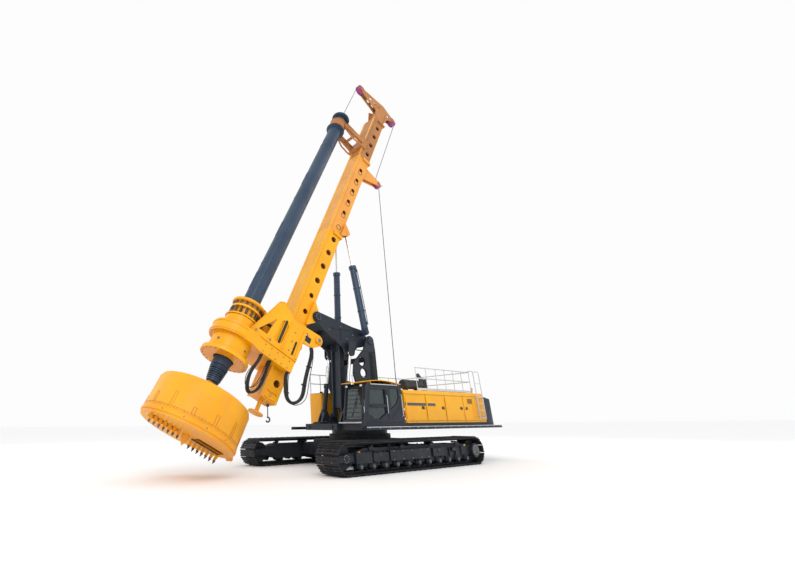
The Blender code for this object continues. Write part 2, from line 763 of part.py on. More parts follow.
def visor():
    """The bowed guard plate over the cab roof, on two cross feet."""
    ends = (-1.80, 0.50)
    rise = 0.11
    steps = 8
    top = [
        (ends[0] + (ends[1] - ends[0]) * i / steps, CAB_TOP + 0.03 + rise * math.sin(math.pi * i / steps))
        for i in range(steps + 1)
    ]
    outline = top + [(y, z - 0.025) for y, z in reversed(top)]
    bow = plate("x", (CAB_X[0] + 0.02, CAB_X[1] - 0.02), outline)
    feet = [box((CAB_X[0] + 0.1, CAB_X[1] - 0.1), (y, y + 0.05), (CAB_TOP + GAP, CAB_TOP + 0.09)) for y in (-1.2, 0.05)]
    return joined(bow, *feet)


def seat():
    floor = DECK_TOP + CAB_WALL + 2 * GAP
    base = box((1.36, 1.66), (-0.66, -0.30), (floor, 2.02))
    cushion = box((1.27, 1.75), (-0.78, -0.22), (1.98, 2.12))
    back_outline = [(-0.30, 2.05), (-0.18, 2.05), (-0.06, 2.70), (-0.16, 2.72)]
    back = plate("x", (1.29, 1.73), back_outline)
    rest = plate("x", (1.39, 1.63), [(-0.17, 2.66), (-0.07, 2.66), (-0.04, 2.88), (-0.13, 2.88)])
    return joined(base, cushion, back, rest)


def console():
    """The two armrest consoles with levers and the screen on its post, joined by the floor plate."""
    floor = DECK_TOP + CAB_WALL + 2 * GAP
    mat = box((1.10, 1.92), (-1.45, -0.72), (floor, floor + 0.03))
    arms = [box((a, a + 0.16), (-0.95, -0.45), (floor, 2.24)) for a in (1.09, 1.77)]
    levers = [rod((a, -0.88, 2.2), (a, -0.92, 2.42), 0.022, 6) for a in (1.17, 1.85)]
    post = rod((1.30, -1.36, floor), (1.30, -1.36, 2.30), 0.03, 6)
    screen = box((1.18, 1.44), (-1.39, -1.34), (2.24, 2.46))
    return joined(mat, *arms, *levers, post, screen)


def build_cab(body, door_body):
    low_x, high_x = CAB_X
    keep("cab_shell", cab_shell(), body, SLATE)
    keep("cab_roof_guard", visor(), body, YELLOW)
    keep("cab_windscreen", windscreen(), body, DARK_GLASS, 0.05)
    keep("cab_quarter_glass", pane(high_x - 0.03, QUARTER), body, DARK_GLASS, 0.05)
    keep("cab_right_glass", pane(low_x + 0.02, FAR_SIDE), body, DARK_GLASS, 0.05)
    rear_y = (CAB_REAR - 0.03, CAB_REAR - 0.03 + GLASS)
    keep("cab_rear_glass", plate("y", rear_y, shrunk(REAR_PANE, GAP)), body, DARK_GLASS, 0.05)
    keep("operator_seat", seat(), body, BLACK, 0.8)
    keep("control_console", console(), body, BLACK, 0.6)
    keep("cab_door", cab_door(), door_body, SLATE)
    keep("cab_door_glass", door_glass(), door_body, DARK_GLASS, 0.05)


# ---------------------------------------------------------------- boom


def boom():
    """Two side plates with lightening holes, tied by cross tubes."""
    top, foot = BOOM_TOP, lower_end(BOOM_TOP)
    outline = [
        *arc(top, 0.24, 20, 150, 6),
        (-0.20, 4.62),
        (-0.86, 4.02),
        (-0.94, 3.55),
        (-0.80, 3.05),
        *arc(foot, 0.25, 190, 350, 6),
        (0.44, 3.10),
        (0.50, 4.60),
    ]
    bores = [bore(end, PIN) for end in (top, foot)]
    lightening = [circle((-0.40, 4.08), 0.19, 16), circle((-0.36, 3.60), 0.19, 16)]
    side = plate("x", BOOM_X, outline, [*bores, *lightening])
    reach = BOOM_X[0] + 0.02
    ties = [plate("x", (-reach, reach), circle(centre, 0.12)) for centre in ((0.20, 4.25), (0.12, 2.95))]
    return joined(*both_sides(side), *ties)


def front_link():
    """The slim front link: two bars with an eye at each end, and a web between them."""
    top, foot = LINK_TOP, lower_end(LINK_TOP)
    outline = hull_of_circles([(*foot, 0.12), (*top, 0.12)])
    bores = [bore(end, LINK_PIN) for end in (top, foot)]
    bar = plate("x", (0.20, 0.28), outline, bores)
    slope = LINK[0] / LINK[1]
    web_low, web_high = foot[1] + 0.3, top[1] - 0.3
    web = plate(
        "x",
        (-0.22, 0.22),
        [
            (foot[0] + 0.3 * slope - 0.03, web_low),
            (foot[0] + 0.3 * slope + 0.03, web_low),
            (top[0] - 0.3 * slope + 0.03, web_high),
            (top[0] - 0.3 * slope - 0.03, web_high),
        ],
    )
    return joined(*both_sides(bar), web)


def mast_support():
    """The head of the boom: two plates that carry the mast's pivot, the braces' feet and the luffing eyes."""
    pivot = mast_point(*PIVOT)
    nose = (pivot.y, pivot.z)
    outline = [
        *arc(nose, 0.24, 95, 230, 5),
        (-1.10, 4.62),
        *arc(LUFF_EYE, 0.20, 200, 300, 4),
        (-0.30, 4.70),
        *arc(BOOM_TOP, 0.22, 250, 400, 6),
        (BRACE_FOOT[0] + 0.16, BRACE_FOOT[1] + 0.14),
        (-0.45, 5.60),
    ]
    side = plate("x", HEAD_X, outline)
    inner, outer = HEAD_X
    pieces = [
        side,
        plate("x", (MAST_HALF - 0.02, inner + 0.02), circle(nose, PIN)),
        plate("x", (outer - 0.02, BOOM_X[0] - GAP), circle(BOOM_TOP, PIN + 0.07)),
        plate("x", (BOOM_X[0] - 0.02, BOOM_X[1] + 0.02), circle(BOOM_TOP, PIN)),
        plate("x", (0.28 + GAP, inner + 0.03), circle(LINK_TOP, 0.115)),
        plate("x", (0.18, 0.30), circle(LINK_TOP, LINK_PIN)),
    ]
    clevis = hull_of_circles([(*LUFF_EYE, 0.17), (-0.62, 4.85, 0.05), (-0.95, 4.85, 0.05)])
    pieces.append(plate("x", (LUFF_EYE_X[1] + PLAY, BOOM_X[0] - 0.01), clevis))
    pieces.append(box((outer - 0.02, LUFF_EYE_X[1] + 0.02), (-0.96, -0.62), (4.74, 4.86)))
    boss_frame = brace_frame(1)
    inner_face = -brace_offset(outer - 0.02)
    eye = BRACE_EYE_HALF
    pieces.append(set_in(boss_frame, plate("x", (inner_face, -eye - GAP), circle((0, 0), PIN + 0.03))))
    pieces.append(set_in(boss_frame, plate("x", (-eye - 0.02, eye + 0.01), circle((0, 0), PIN))))
    pieces.append(set_in(boss_frame, plate("x", (eye + GAP, eye + 0.04), circle((0, 0), PIN + 0.03))))
    both = [shape for piece in pieces for shape in both_sides(piece)]
    ties = [plate("x", (-inner - 0.02, inner + 0.02), circle(centre, 0.105)) for centre in ((-1.55, 5.42), (-0.35, 5.13))]
    return joined(*both, *ties)


# ---------------------------------------------------------------- cylinders


def frame_along(origin, across, along):
    """A frame at the origin whose Z runs along and whose X is as near as can be to across."""
    z = Vector(along).normalized()
    y = z.cross(Vector(across)).normalized()
    x = y.cross(z)
    turn = Matrix((x, y, z)).transposed().to_4x4()
    return Matrix.Translation(Vector(origin)) @ turn


def tilted(point, angle, pivot):
    return Vector(pivot) + Matrix.Rotation(angle, 3, "X") @ (Vector(point) - Vector(pivot))


def brace_ends(side):
    foot = Vector((side * BRACE_X[1], *BRACE_FOOT))
    eye = mast_point(*BRACE_EYE, side * BRACE_X[0])
    return foot, eye


def brace_axis(side):
    """The axis that keeps the brace's eye on its pin both at rest and with the mast upright."""
    foot, eye = brace_ends(side)
    upright = tilted(eye, LEAN, mast_point(*PIVOT))
    return (eye - foot).cross(upright - foot).normalized()


def brace_frame(side):
    foot, eye = brace_ends(side)
    return frame_along(foot, brace_axis(side), eye - foot)


def brace_offset(x):
    """How far the brace's foot stands outside a plane of constant x."""
    return BRACE_X[1] - x


def barrel(length, radius, inside, eye_half, pin_r):
    """A cylinder's barrel with the eye at its foot and a collar at its mouth, along Z from the eye's centre."""
    foot = EYE_CLEAR
    floor = foot + 0.10
    profile = [
        (0, floor),
        (inside, floor),
        (inside, length),
        (radius + 0.02, length),
        (radius + 0.02, length - 0.12),
        (radius, length - 0.14),
        (radius, foot + 0.03),
        (radius * 0.8, foot),
        (0, foot),
    ]
    tube = turned(profile, 16)
    eye_r = pin_r + 0.06
    tongue = arc((0, 0), eye_r, 180, 360, 6) + [(eye_r, foot + 0.05), (-eye_r, foot + 0.05)]
    eye = plate("x", (-eye_half, eye_half), tongue, [bore((0, 0), pin_r)])
    return joined(tube, eye)


EYE_CLEAR = 0.15  # from a barrel's foot pin to the barrel itself


def piston_rod(start, end, radius, eye_r, eye_half):
    """The rod with its solid eye, whose centre is at the end."""
    shaft = turned([(0, end), (radius, end), (radius, start), (0, start)], 16)
    eye = plate("x", (-eye_half, eye_half), circle((0, end), eye_r))
    return joined(shaft, eye)


def build_braces(bodies):
    """The two long cylinders that tilt the mast."""
    rod_r = 0.075
    for side, word in ((1, "left"), (-1, "right")):
        foot, eye = brace_ends(side)
        length = (eye - foot).length
        frame = brace_frame(1)
        tube = set_in(frame, barrel(BRACE_BARREL, 0.15, rod_r + GAP, BRACE_EYE_HALF, PIN))
        shaft = set_in(frame, piston_rod(0.35, length, rod_r, 0.12, 0.05))
        keep(f"mast_cylinder_{word}", on_side(side, tube), bodies[f"mast_cylinder_{word}"], BLUE_SLATE)
        keep(f"mast_cylinder_rod_{word}", on_side(side, shaft), bodies[f"mast_cylinder_rod_{word}"], STEEL, 0.15, 1.0)


def build_luff_cylinders(bodies):
    rod_r = 0.06
    x = (LUFF_EYE_X[0] + LUFF_EYE_X[1]) / 2
    half = (LUFF_EYE_X[1] - LUFF_EYE_X[0]) / 2
    base = Vector((x, *LUFF_BASE))
    eye = Vector((x, *LUFF_EYE))
    frame = frame_along(base, (1, 0, 0), eye - base)
    length = (eye - base).length
    for side, word in ((1, "left"), (-1, "right")):
        tube = set_in(frame, barrel(1.30, 0.09, rod_r + GAP, half, LUFF_PIN))
        shaft = set_in(frame, piston_rod(0.45, length, rod_r, 0.12, half))
        keep(f"boom_cylinder_{word}", on_side(side, tube), bodies[f"boom_cylinder_{word}"], SLATE)
        keep(f"boom_cylinder_rod_{word}", on_side(side, shaft), bodies[f"boom_cylinder_rod_{word}"], STEEL, 0.15, 1.0)


# ---------------------------------------------------------------- mast, in its own frame


def mast_section(low, high, first_hole, pitch):
    """A box section with wide front rails, a row of round holes through its sides and a collar at its top."""
    half, (front, back) = MAST_HALF, MAST_N
    shell = box((-half, half), (front, back), (low, high))
    rails = box((-RAIL_HALF, RAIL_HALF), (RAIL_N, front + 0.01), (low, high))
    collar = box((-half - 0.07, half + 0.07), (2.08, back + 0.08), (high - 0.10, high))
    w = MAST_WALL
    hollow = box((-half + w, half - w), (front + w, back - w), (low + w, high - w))
    holes = []
    place = first_hole
    while place < high - 0.35:
        holes.append(plate("x", (-1, 1), circle(((front + back) / 2 + 0.06, place), 0.125, 8)))
        place += pitch
    return cut(joined(shell, rails, collar), hollow, *holes)


def mast_lower():
    section = mast_section(MAST_S[0], MAST_S[1], 4.55, 0.85)
    inner = HEAD_X[0] - GAP
    lug_outline = hull_of_circles([(PIVOT[1], PIVOT[0], 0.20), (2.47, 8.55, 0.04), (2.47, 7.45, 0.04)])
    lug = plate("x", (MAST_HALF - 0.01, inner), lug_outline, [bore((PIVOT[1], PIVOT[0]), PIN)])
    foot_pad = turned([(0, 3.42), (0.08, 3.42), (0.30, 3.34), (0.30, 3.30), (0, 3.30)], 16)
    stem = turned([(0, 3.90), (0.08, 3.90), (0.08, 3.38), (0, 3.38)], 12)
    shift = Matrix.Translation((0, (MAST_N[0] + MAST_N[1]) / 2 - 0.1, 0))
    return joined(section, *both_sides(lug), set_in(shift, foot_pad), set_in(shift, stem))


def mast_upper():
    section = mast_section(MAST_S[1] + GAP, MAST_S[2], 14.1, 0.85)
    s, n = BRACE_EYE
    outline = hull_of_circles([(n, s, 0.14), (2.50, s + 0.35, 0.03), (2.50, s - 0.35, 0.03)])
    middle, room, ear = BRACE_X[0], 0.095, 0.05
    ears = [plate("x", (x, x + ear), outline) for x in (middle - room - ear, middle + room)]
    boss = plate("x", (middle + room + ear - 0.01, middle + room + ear + 0.03), circle((n, s), 0.10))
    reach = middle + room + ear - 0.01
    ties = box((-reach, reach), (2.54, 2.60), (s - 0.33, s + 0.33))
    arm_s = 17.95
    aux_n = AUX_SHEAVE[1]
    arm_outline = hull_of_circles([(2.50, arm_s - 0.5, 0.05), (aux_n, AUX_SHEAVE[0], 0.12), (2.50, arm_s + 0.35, 0.05)])
    arms = both_sides(plate("x", CHEEK_X, arm_outline, [bore((aux_n, AUX_SHEAVE[0]), SHEAVE_AXLE_R)]))
    pad = box((-0.12, 0.12), (2.54, 2.60), (arm_s - 0.5, arm_s + 0.33))
    pieces = [shape for piece in (*ears, boss) for shape in both_sides(piece)]
    return joined(section, ties, *pieces, pad, *arms)


AUX_SHEAVE = (18.10, 3.78)
FRONT_SHEAVE = (HEAD_S, 0.33)
REAR_SHEAVE = (HEAD_S + 0.05, 3.20)
SHEAVE_R = 0.33
SHEAVE_AXLE_R = 0.06
CHEEK_X = (0.09, 0.14)


def mast_head():
    """The mast's top section with the gooseneck: a neck and two long cheeks that hold the rope sheaves."""
    section = mast_section(MAST_S[2] + GAP, MAST_S[3], 18.95, 0.85)
    neck = box((-0.28, 0.28), (1.88, 2.50), (MAST_S[3] - 0.01, HEAD_S))
    cheek_outline = hull_of_circles(
        [(FRONT_SHEAVE[1], HEAD_S, 0.13), (2.2, HEAD_S - 0.45, 0.10), (REAR_SHEAVE[1], REAR_SHEAVE[0], 0.13), (2.2, HEAD_S + 0.35, 0.10)]
    )
    holes = [bore((centre[1], centre[0]), SHEAVE_AXLE_R) for centre in (FRONT_SHEAVE, REAR_SHEAVE)]
    holes += [circle((n, HEAD_S - 0.03), 0.13, 8) for n in (1.15, 1.55)]
    holes += [circle((n, HEAD_S), 0.11, 8) for n in (2.75,)]
    cheek = plate("x", CHEEK_X, cheek_outline, holes)
    return joined(section, neck, *both_sides(cheek))


def sheave(centre, radius):
    """A grooved rope wheel on its axle, between two cheeks."""
    half = CHEEK_X[0] - GAP
    profile = [(radius, half), (radius - 0.05, 0.03), (radius - 0.05, -0.03), (radius, -half), (0, -half)]
    wheel = turned([(0, half), *profile], 20)
    wheel = set_in(Matrix.Rotation(math.pi / 2, 4, "Y"), wheel)
    axle = plate("x", (-0.13, 0.13), circle((0, 0), SHEAVE_AXLE_R))
    return set_in(Matrix.Translation((0, centre[1], centre[0])), joined(wheel, axle))


# ---------------------------------------------------------------- rotary drive, kelly bar and bucket, in the mast's frame


def drive_table():
    """The gearbox: a thick table, round about the kelly bar, whose arms reach back beside the mast."""
    low, high = TABLE_S
    arm, slot = SIDE_FRAME[1] + 0.03, RAIL_HALF + 0.02
    front = arc((0, 0), TABLE_R, -180, 0, 16)
    outline = [*front, (0.95, 0.35), (arm, 0.85), (arm, 2.40), (slot, 2.40), (slot, 1.70)]
    outline += [(-slot, 1.70), (-slot, 2.40), (-arm, 2.40), (-arm, 0.85), (-0.95, 0.35)]
    table = plate("z", (low, high), outline, [circle((0, 0), TABLE_BORE, 24)])
    motors = [rod((x, 0.98, high - 0.02), (x, 0.98, high + 0.95), 0.17, 12) for x in (-0.25, 0.25)]
    return joined(table, *motors)


def carriage():
    """The sledge on the mast's rails: side frames with windows, a cross box, shoes and the rear lugs."""
    low = TABLE_S[1] + GAP
    top = CARRIAGE_TOP
    inner, outer = SIDE_FRAME
    outline = [(0.10, low), (2.45, low), (2.45, 6.95), (1.75, 7.05), (1.30, top - 0.15), (1.02, top), (0.80, top - 0.12)]
    window = [(0.42, 5.80), (0.84, 5.80), (0.98, 6.60)]
    slot = eased([(1.15, 5.80, 0.1), (1.55, 5.80, 0.1), (1.60, 6.70, 0.15), (1.22, 6.80, 0.15)])
    side = plate("x", (inner, outer), outline, [window, slot])
    lug_outline = hull_of_circles([(1.95, 6.50, 0.10), (2.95, 6.62, 0.08), (3.12, 6.98, 0.24), (1.95, 7.00, 0.10)])
    lug = plate("x", (inner - 0.06, inner + 0.02), lug_outline, [circle((2.50, 6.86), 0.10, 8)])
    boss = plate("x", (inner + 0.01, inner + 0.06), circle((3.12, 6.98), 0.11))
    claw = box((RAIL_HALF - 0.07, inner + 0.02), (MAST_N[0] + 0.01 + GAP, 1.95), (low + 0.02, 6.9))
    cross = box((-inner - 0.02, inner + 0.02), (1.20, RAIL_N - GAP), (low, 6.95))
    pieces = [shape for piece in (side, lug, boss, claw) for shape in both_sides(piece)]
    return joined(cross, *pieces)


def drive_sleeve():
    """The turning sleeve: the drive flange below the table, the tube through it and the spring stack above."""
    low = 4.30
    under, over = TABLE_S[0] - GAP, TABLE_S[1] + GAP
    bore = SLEEVE_BORE
    profile = [
        (bore, 6.72),
        (0.66, 6.72),
        (0.66, 6.60),
        (0.52, 6.60),
        (0.52, 6.42),
        (0.64, 6.42),
        (0.64, 6.34),
        (0.52, 6.34),
        (0.52, 5.92),
        (0.66, 5.92),
        (0.66, over),
        (TABLE_BORE - 0.02, over),
        (TABLE_BORE - 0.02, under),
        (0.76, under),
        (0.76, 4.44),
        (0.94, 4.44),
        (0.94, low),
        (bore, low),
    ]
    return turned(profile, 24)


def kelly_bar():
    """The telescopic bar as it stands closed: keyed outer tube, two flanges and an eye at the top, square stub below."""
    lower_flange, upper_flange = FLANGE_S
    profile = [
        (0, 20.42),
        (0.13, 20.42),
        (0.16, 20.05),
        (0.47, 20.05),
        (0.47, upper_flange),
        (NECK_R, upper_flange),
        (NECK_R, lower_flange + 0.08),
        (0.48, lower_flange + 0.08),
        (0.48, lower_flange),
        (KELLY_R, lower_flange - 0.04),
        (KELLY_R, 4.02),
        (0.31, 3.98),
        (0.34, 3.90),
        (0.28, 3.84),
        (0.31, 3.76),
        (0.25, 3.70),
        (0.25, 3.40),
        (0, 3.40),
    ]
    bar = turned(profile, 18)
    keys = []
    for k in range(3):
        key = box((-0.035, 0.035), (KELLY_R - 0.02, KELLY_R + KEY_RISE), (4.2, lower_flange - 0.1))
        keys.append(set_in(Matrix.Rotation(math.tau * k / 3, 4, "Z"), key))
    half = STUB_HALF
    stub = box((-half, half), (-half, half), (BUCKET_S[1] + GAP, 3.45))
    eye = plate("x", (-0.06, 0.06), circle((0, 20.50), 0.16))
    return joined(bar, *keys, stub, eye)


STUB_HALF = 0.16


def kelly_guide():
    """The frame that holds the bar's head to the mast: a ring, two arms with a brace and shoes on the rails."""
    low = FLANGE_S[0] + 0.08 + GAP
    high = 19.55
    ring = turned([(NECK_R + 0.14, high), (NECK_R + 0.14, low), (NECK_R + 0.02, low), (NECK_R + 0.02, high)], 20)
    arms = [
        plate("z", (high - 0.28, high), [(x, 0.20), (x + turn, 0.20), (x + turn * 1.7, 1.66), (x + turn * 0.7, 1.66)])
        for x, turn in ((0.30, 0.14), (-0.30, -0.14))
    ]
    brace = box((-0.42, 0.42), (0.98, 1.10), (high - 0.22, high - 0.08))
    beam = box((-RAIL_HALF - 0.05, RAIL_HALF + 0.05), (1.56, RAIL_N - GAP), (high - 0.55, high + 0.15))
    claws = []
    for side in (1, -1):
        lip = sorted((side * (RAIL_HALF + PLAY), side * (RAIL_HALF + 0.05)))
        hook = sorted((side * (MAST_HALF + 0.02), side * (RAIL_HALF + 0.05)))
        claws.append(box(lip, (1.60, 1.90), (high - 0.55, high + 0.15)))
        claws.append(box(hook, (MAST_N[0] + 0.01 + GAP, 1.90), (high - 0.55, high + 0.15)))
    return joined(ring, *arms, brace, beam, *claws)


def bucket():
    """The drum with its rounded shoulder and the square socket with slotted gussets on its top."""
    low, high = BUCKET_S
    r, w = BUCKET_R, BUCKET_WALL
    profile = [
        (0.0, high),
        (r - 0.16, high),
        (r - 0.05, high - 0.05),
        (r, high - 0.16),
        (r, low + 0.16),
        (r + 0.02, low + 0.14),
        (r + 0.02, low),
        (r - w, low),
        (r - w, high - w - 0.1),
        (r - w - 0.12, high - w),
        (0.0, high - w),
    ]
    drum = turned(profile, 36)
    half = STUB_HALF
    hole = half + GAP
    top = 3.30
    socket = cut(
        box((-half - 0.09, half + 0.09), (-half - 0.09, half + 0.09), (high - 0.01, top)),
        box((-hole, hole), (-hole, hole), (high, top + 0.1)),
    )
    fins = []
    for k in range(4):
        fin = plate("x", (-0.03, 0.03), [(half + 0.08, high - 0.01), (0.85, high - 0.01), (half + 0.08, top - 0.05)])
        fins.append(set_in(Matrix.Rotation(math.tau * k / 4, 4, "Z"), fin))
    hinge = hinge_ear((0.05, 0.14))
    return joined(drum, socket, *fins, *both_sides(hinge))


def hinge_ear(limits):
    """An ear on the drum's rear wall that carries the bottom's hinge."""
    low = BUCKET_S[0]
    n = FLOOR_HINGE[1]
    outline = hull_of_circles([(n, FLOOR_HINGE[0], 0.06), (BUCKET_R, low + 0.5, 0.02), (BUCKET_R - 0.02, low + 0.04, 0.02)])
    floor_room = box((0, 1), (0, BUCKET_R + 0.03), (low - 0.2, low))
    return cut(plate("x", limits, outline, [bore((n, FLOOR_HINGE[0]), FLOOR_PIN)]), floor_room)


FLOOR_HINGE = (BUCKET_S[0] - 0.035, BUCKET_R + 0.12)
FLOOR_PIN = 0.03
TEETH = 7


def bucket_floor():
    """The hinged bottom: a disc with two mouths, a row of teeth along each, the pilot point and the hinge tongue."""
    high = BUCKET_S[0] - GAP
    low = high - 0.07
    mouths = []
    edge = BUCKET_R - 0.25
    for turn in (0, math.pi):
        corners = [(-0.10, 0.25), (0.50, 0.25), (0.50, edge - 0.15), (0.20, edge - 0.03), (-0.10, edge)]
        mouths.append([(x * math.cos(turn) - y * math.sin(turn), x * math.sin(turn) + y * math.cos(turn)) for x, y in corners])
    disc = plate("z", (low, high), circle((0, 0), BUCKET_R - 0.01, 36), mouths)
    teeth = []
    pitch = (BUCKET_R - 0.44) / TEETH
    for k in range(TEETH):
        for turn in (0, math.pi):
            tooth = plate(
                "y",
                (0.32 + pitch * k, 0.42 + pitch * k),
                [(-0.30, low - 0.22), (-0.13, high - 0.03), (-0.25, high - 0.03)],
            )
            teeth.append(set_in(Matrix.Rotation(turn, 4, "Z"), tooth))
    pilot = turned([(0, low + 0.02), (0.16, low + 0.02), (0.16, low - 0.10), (0.0, low - 0.36)], 8)
    tongue_outline = hull_of_circles([(BUCKET_R - 0.2, FLOOR_HINGE[0], 0.034), (FLOOR_HINGE[1], FLOOR_HINGE[0], 0.034)])
    tongue = plate("x", (-0.05 + GAP, 0.05 - GAP), tongue_outline)
    pin = plate("x", (-0.16, 0.16), circle((FLOOR_HINGE[1], FLOOR_HINGE[0]), FLOOR_PIN))
    return joined(disc, *teeth, pilot, tongue, pin)


def hook():
    """The auxiliary hook, which hangs from a shackle under the mast's foot."""
    top = mast_point(MAST_S[0] - GAP, 2.42)
    shank = rod((0, top.y, top.z - 0.45), (0, top.y, top.z - 0.02), 0.018, 8)
    lug = box((-0.04, 0.04), (top.y - 0.04, top.y + 0.04), (top.z - 0.10, top.z + 0.01))
    ring = [
        (top.y + 0.085 * math.cos(a), top.z - 0.55 + 0.085 * math.sin(a))
        for a in (math.radians(110 - 33 * i) for i in range(9))
    ]
    bow = bpy.data.curves.new("hook", "CURVE")
    bow.dimensions = "3D"
    bow.bevel_depth = 0.03
    bow.bevel_resolution = 1
    bow.use_fill_caps = True
    spline = bow.splines.new("POLY")
    spline.points.add(len(ring) - 1)
    for point, (y, z) in zip(spline.points, ring):
        point.co = (0, y, z, 1)
    return cut(joined(shank, lug, settled(loose("hook", bow))), above_foot())


def above_foot():
    """The space the mast fills, which the hook's lug must not enter."""
    return set_in(MAST_FRAME, box((-1, 1), (1, 3), (MAST_S[0] - GAP, MAST_S[0] + 1)))


def hose(x, route):
    """A bundle of hydraulic hoses as one round tube through mast points (n, s), smoothed."""
    points = route
    for _ in range(3):
        eased_points = [points[0]]
        for a, b in zip(points, points[1:]):
            eased_points.append((0.75 * a[0] + 0.25 * b[0], 0.75 * a[1] + 0.25 * b[1]))
            eased_points.append((0.25 * a[0] + 0.75 * b[0], 0.25 * a[1] + 0.75 * b[1]))
        points = [*eased_points, points[-1]]
    spaced = [points[0]]
    for point in points[1:-1]:
        if math.dist(point, spaced[-1]) > 2.2 * HOSE_R and math.dist(point, points[-1]) > 1.5 * HOSE_R:
            spaced.append(point)
    spaced.append(points[-1])
    curve = bpy.data.curves.new("hose", "CURVE")
    curve.dimensions = "3D"
    curve.bevel_depth = HOSE_R
    curve.bevel_resolution = 1
    curve.use_fill_caps = True
    spline = curve.splines.new("POLY")
    spline.points.add(len(spaced) - 1)
    for point, (n, s) in zip(spline.points, spaced):
        point.co = (x, n, s, 1)
    return settled(loose("hose", curve))


def front_hoses():
    """The loop under the gearbox, ahead of the mast."""
    top = TABLE_S[0] - 2 * GAP
    route = [(1.02, top), (1.02, 4.8), (0.86, 4.1), (1.12, 3.5), (1.52, 3.9), (1.46, 4.8), (1.46, top)]
    return hose(SIDE_FRAME[0] - 0.09, route)


def rear_hoses():
    """The long loop from the carriage's rear lug to the end of the gearbox's arm."""
    lug_foot = 6.50
    arm = TABLE_S[0] - GAP
    route = [(2.90, lug_foot), (3.05, 6.3), (3.12, 5.3), (3.34, 4.4), (2.72, 4.0), (2.28, 4.8), (2.28, arm)]
    return hose((SIDE_FRAME[0] + SIDE_FRAME[1]) / 2 - 0.05, route)


# ---------------------------------------------------------------- assembly


def build_upper(bodies):
    body = bodies["upper"]
    keep("turntable", turntable(), body, SLATE)
    keep("engine_house", house_shell(), body, YELLOW)
    keep("counterweight", counterweight(), body, SLATE)
    keep("side_tank", side_box(), body, YELLOW)
    keep("handrails", handrails(), body, GREY)
    keep("ladder", ladder(), body, GREY)
    keep("exhaust", exhaust(), body, BLACK, 0.6)
    keep("engine_block", engine(), body, GREY, 0.6, 0.5)
    for name, spec in zip(("main_winch", "auxiliary_winch"), WINCHES):
        keep(name, winch_drum(*spec), bodies[name], SLATE, 0.5, 0.5)
    for i, limits in enumerate(LEFT_DOORS, 1):
        keep(f"house_door_left_{i}", house_door(limits), bodies[f"house_door_left_{i}"], YELLOW)
    keep("house_door_left_4", house_door(LAST_DOOR, False), bodies["house_door_left_4"], YELLOW)
    for i, limits in enumerate(RIGHT_DOORS, 1):
        door = other_side(house_door(limits))
        keep(f"house_door_right_{i}", door, bodies[f"house_door_right_{i}"], YELLOW)


def build_mast(bodies):
    frame = MAST_FRAME
    body = bodies["mast"]
    keep("mast_lower", set_in(frame, mast_lower()), body, YELLOW)
    keep("mast_upper", set_in(frame, mast_upper()), body, YELLOW)
    keep("mast_head", set_in(frame, mast_head()), body, YELLOW)
    keep("auxiliary_hook", hook(), body, BLACK)
    for name, centre in SHEAVES.items():
        keep(name, set_in(frame, sheave(centre, SHEAVE_R if name != "auxiliary_sheave" else 0.24)), bodies[name], BLACK)
    keep("drive_carriage", set_in(frame, carriage()), bodies["carriage"], YELLOW)
    keep("drive_gearbox", set_in(frame, drive_table()), bodies["carriage"], YELLOW)
    keep("drive_hoses_front", set_in(frame, front_hoses()), bodies["carriage"], BLACK, 0.7)
    keep("drive_hoses_rear", set_in(frame, rear_hoses()), bodies["carriage"], BLACK, 0.7)
    keep("drive_sleeve", set_in(frame, drive_sleeve()), bodies["drive_sleeve"], YELLOW)
    keep("kelly_guide", set_in(frame, kelly_guide()), bodies["kelly_guide"], YELLOW)
    keep("kelly_bar", set_in(frame, kelly_bar()), bodies["kelly"], BLUE_SLATE)
    keep("bucket", set_in(frame, bucket()), bodies["kelly"], YELLOW)
    keep("bucket_floor", set_in(frame, bucket_floor()), bodies["bucket_floor"], YELLOW)


SHEAVES = {"front_sheave": FRONT_SHEAVE, "rear_sheave": REAR_SHEAVE, "auxiliary_sheave": AUX_SHEAVE}


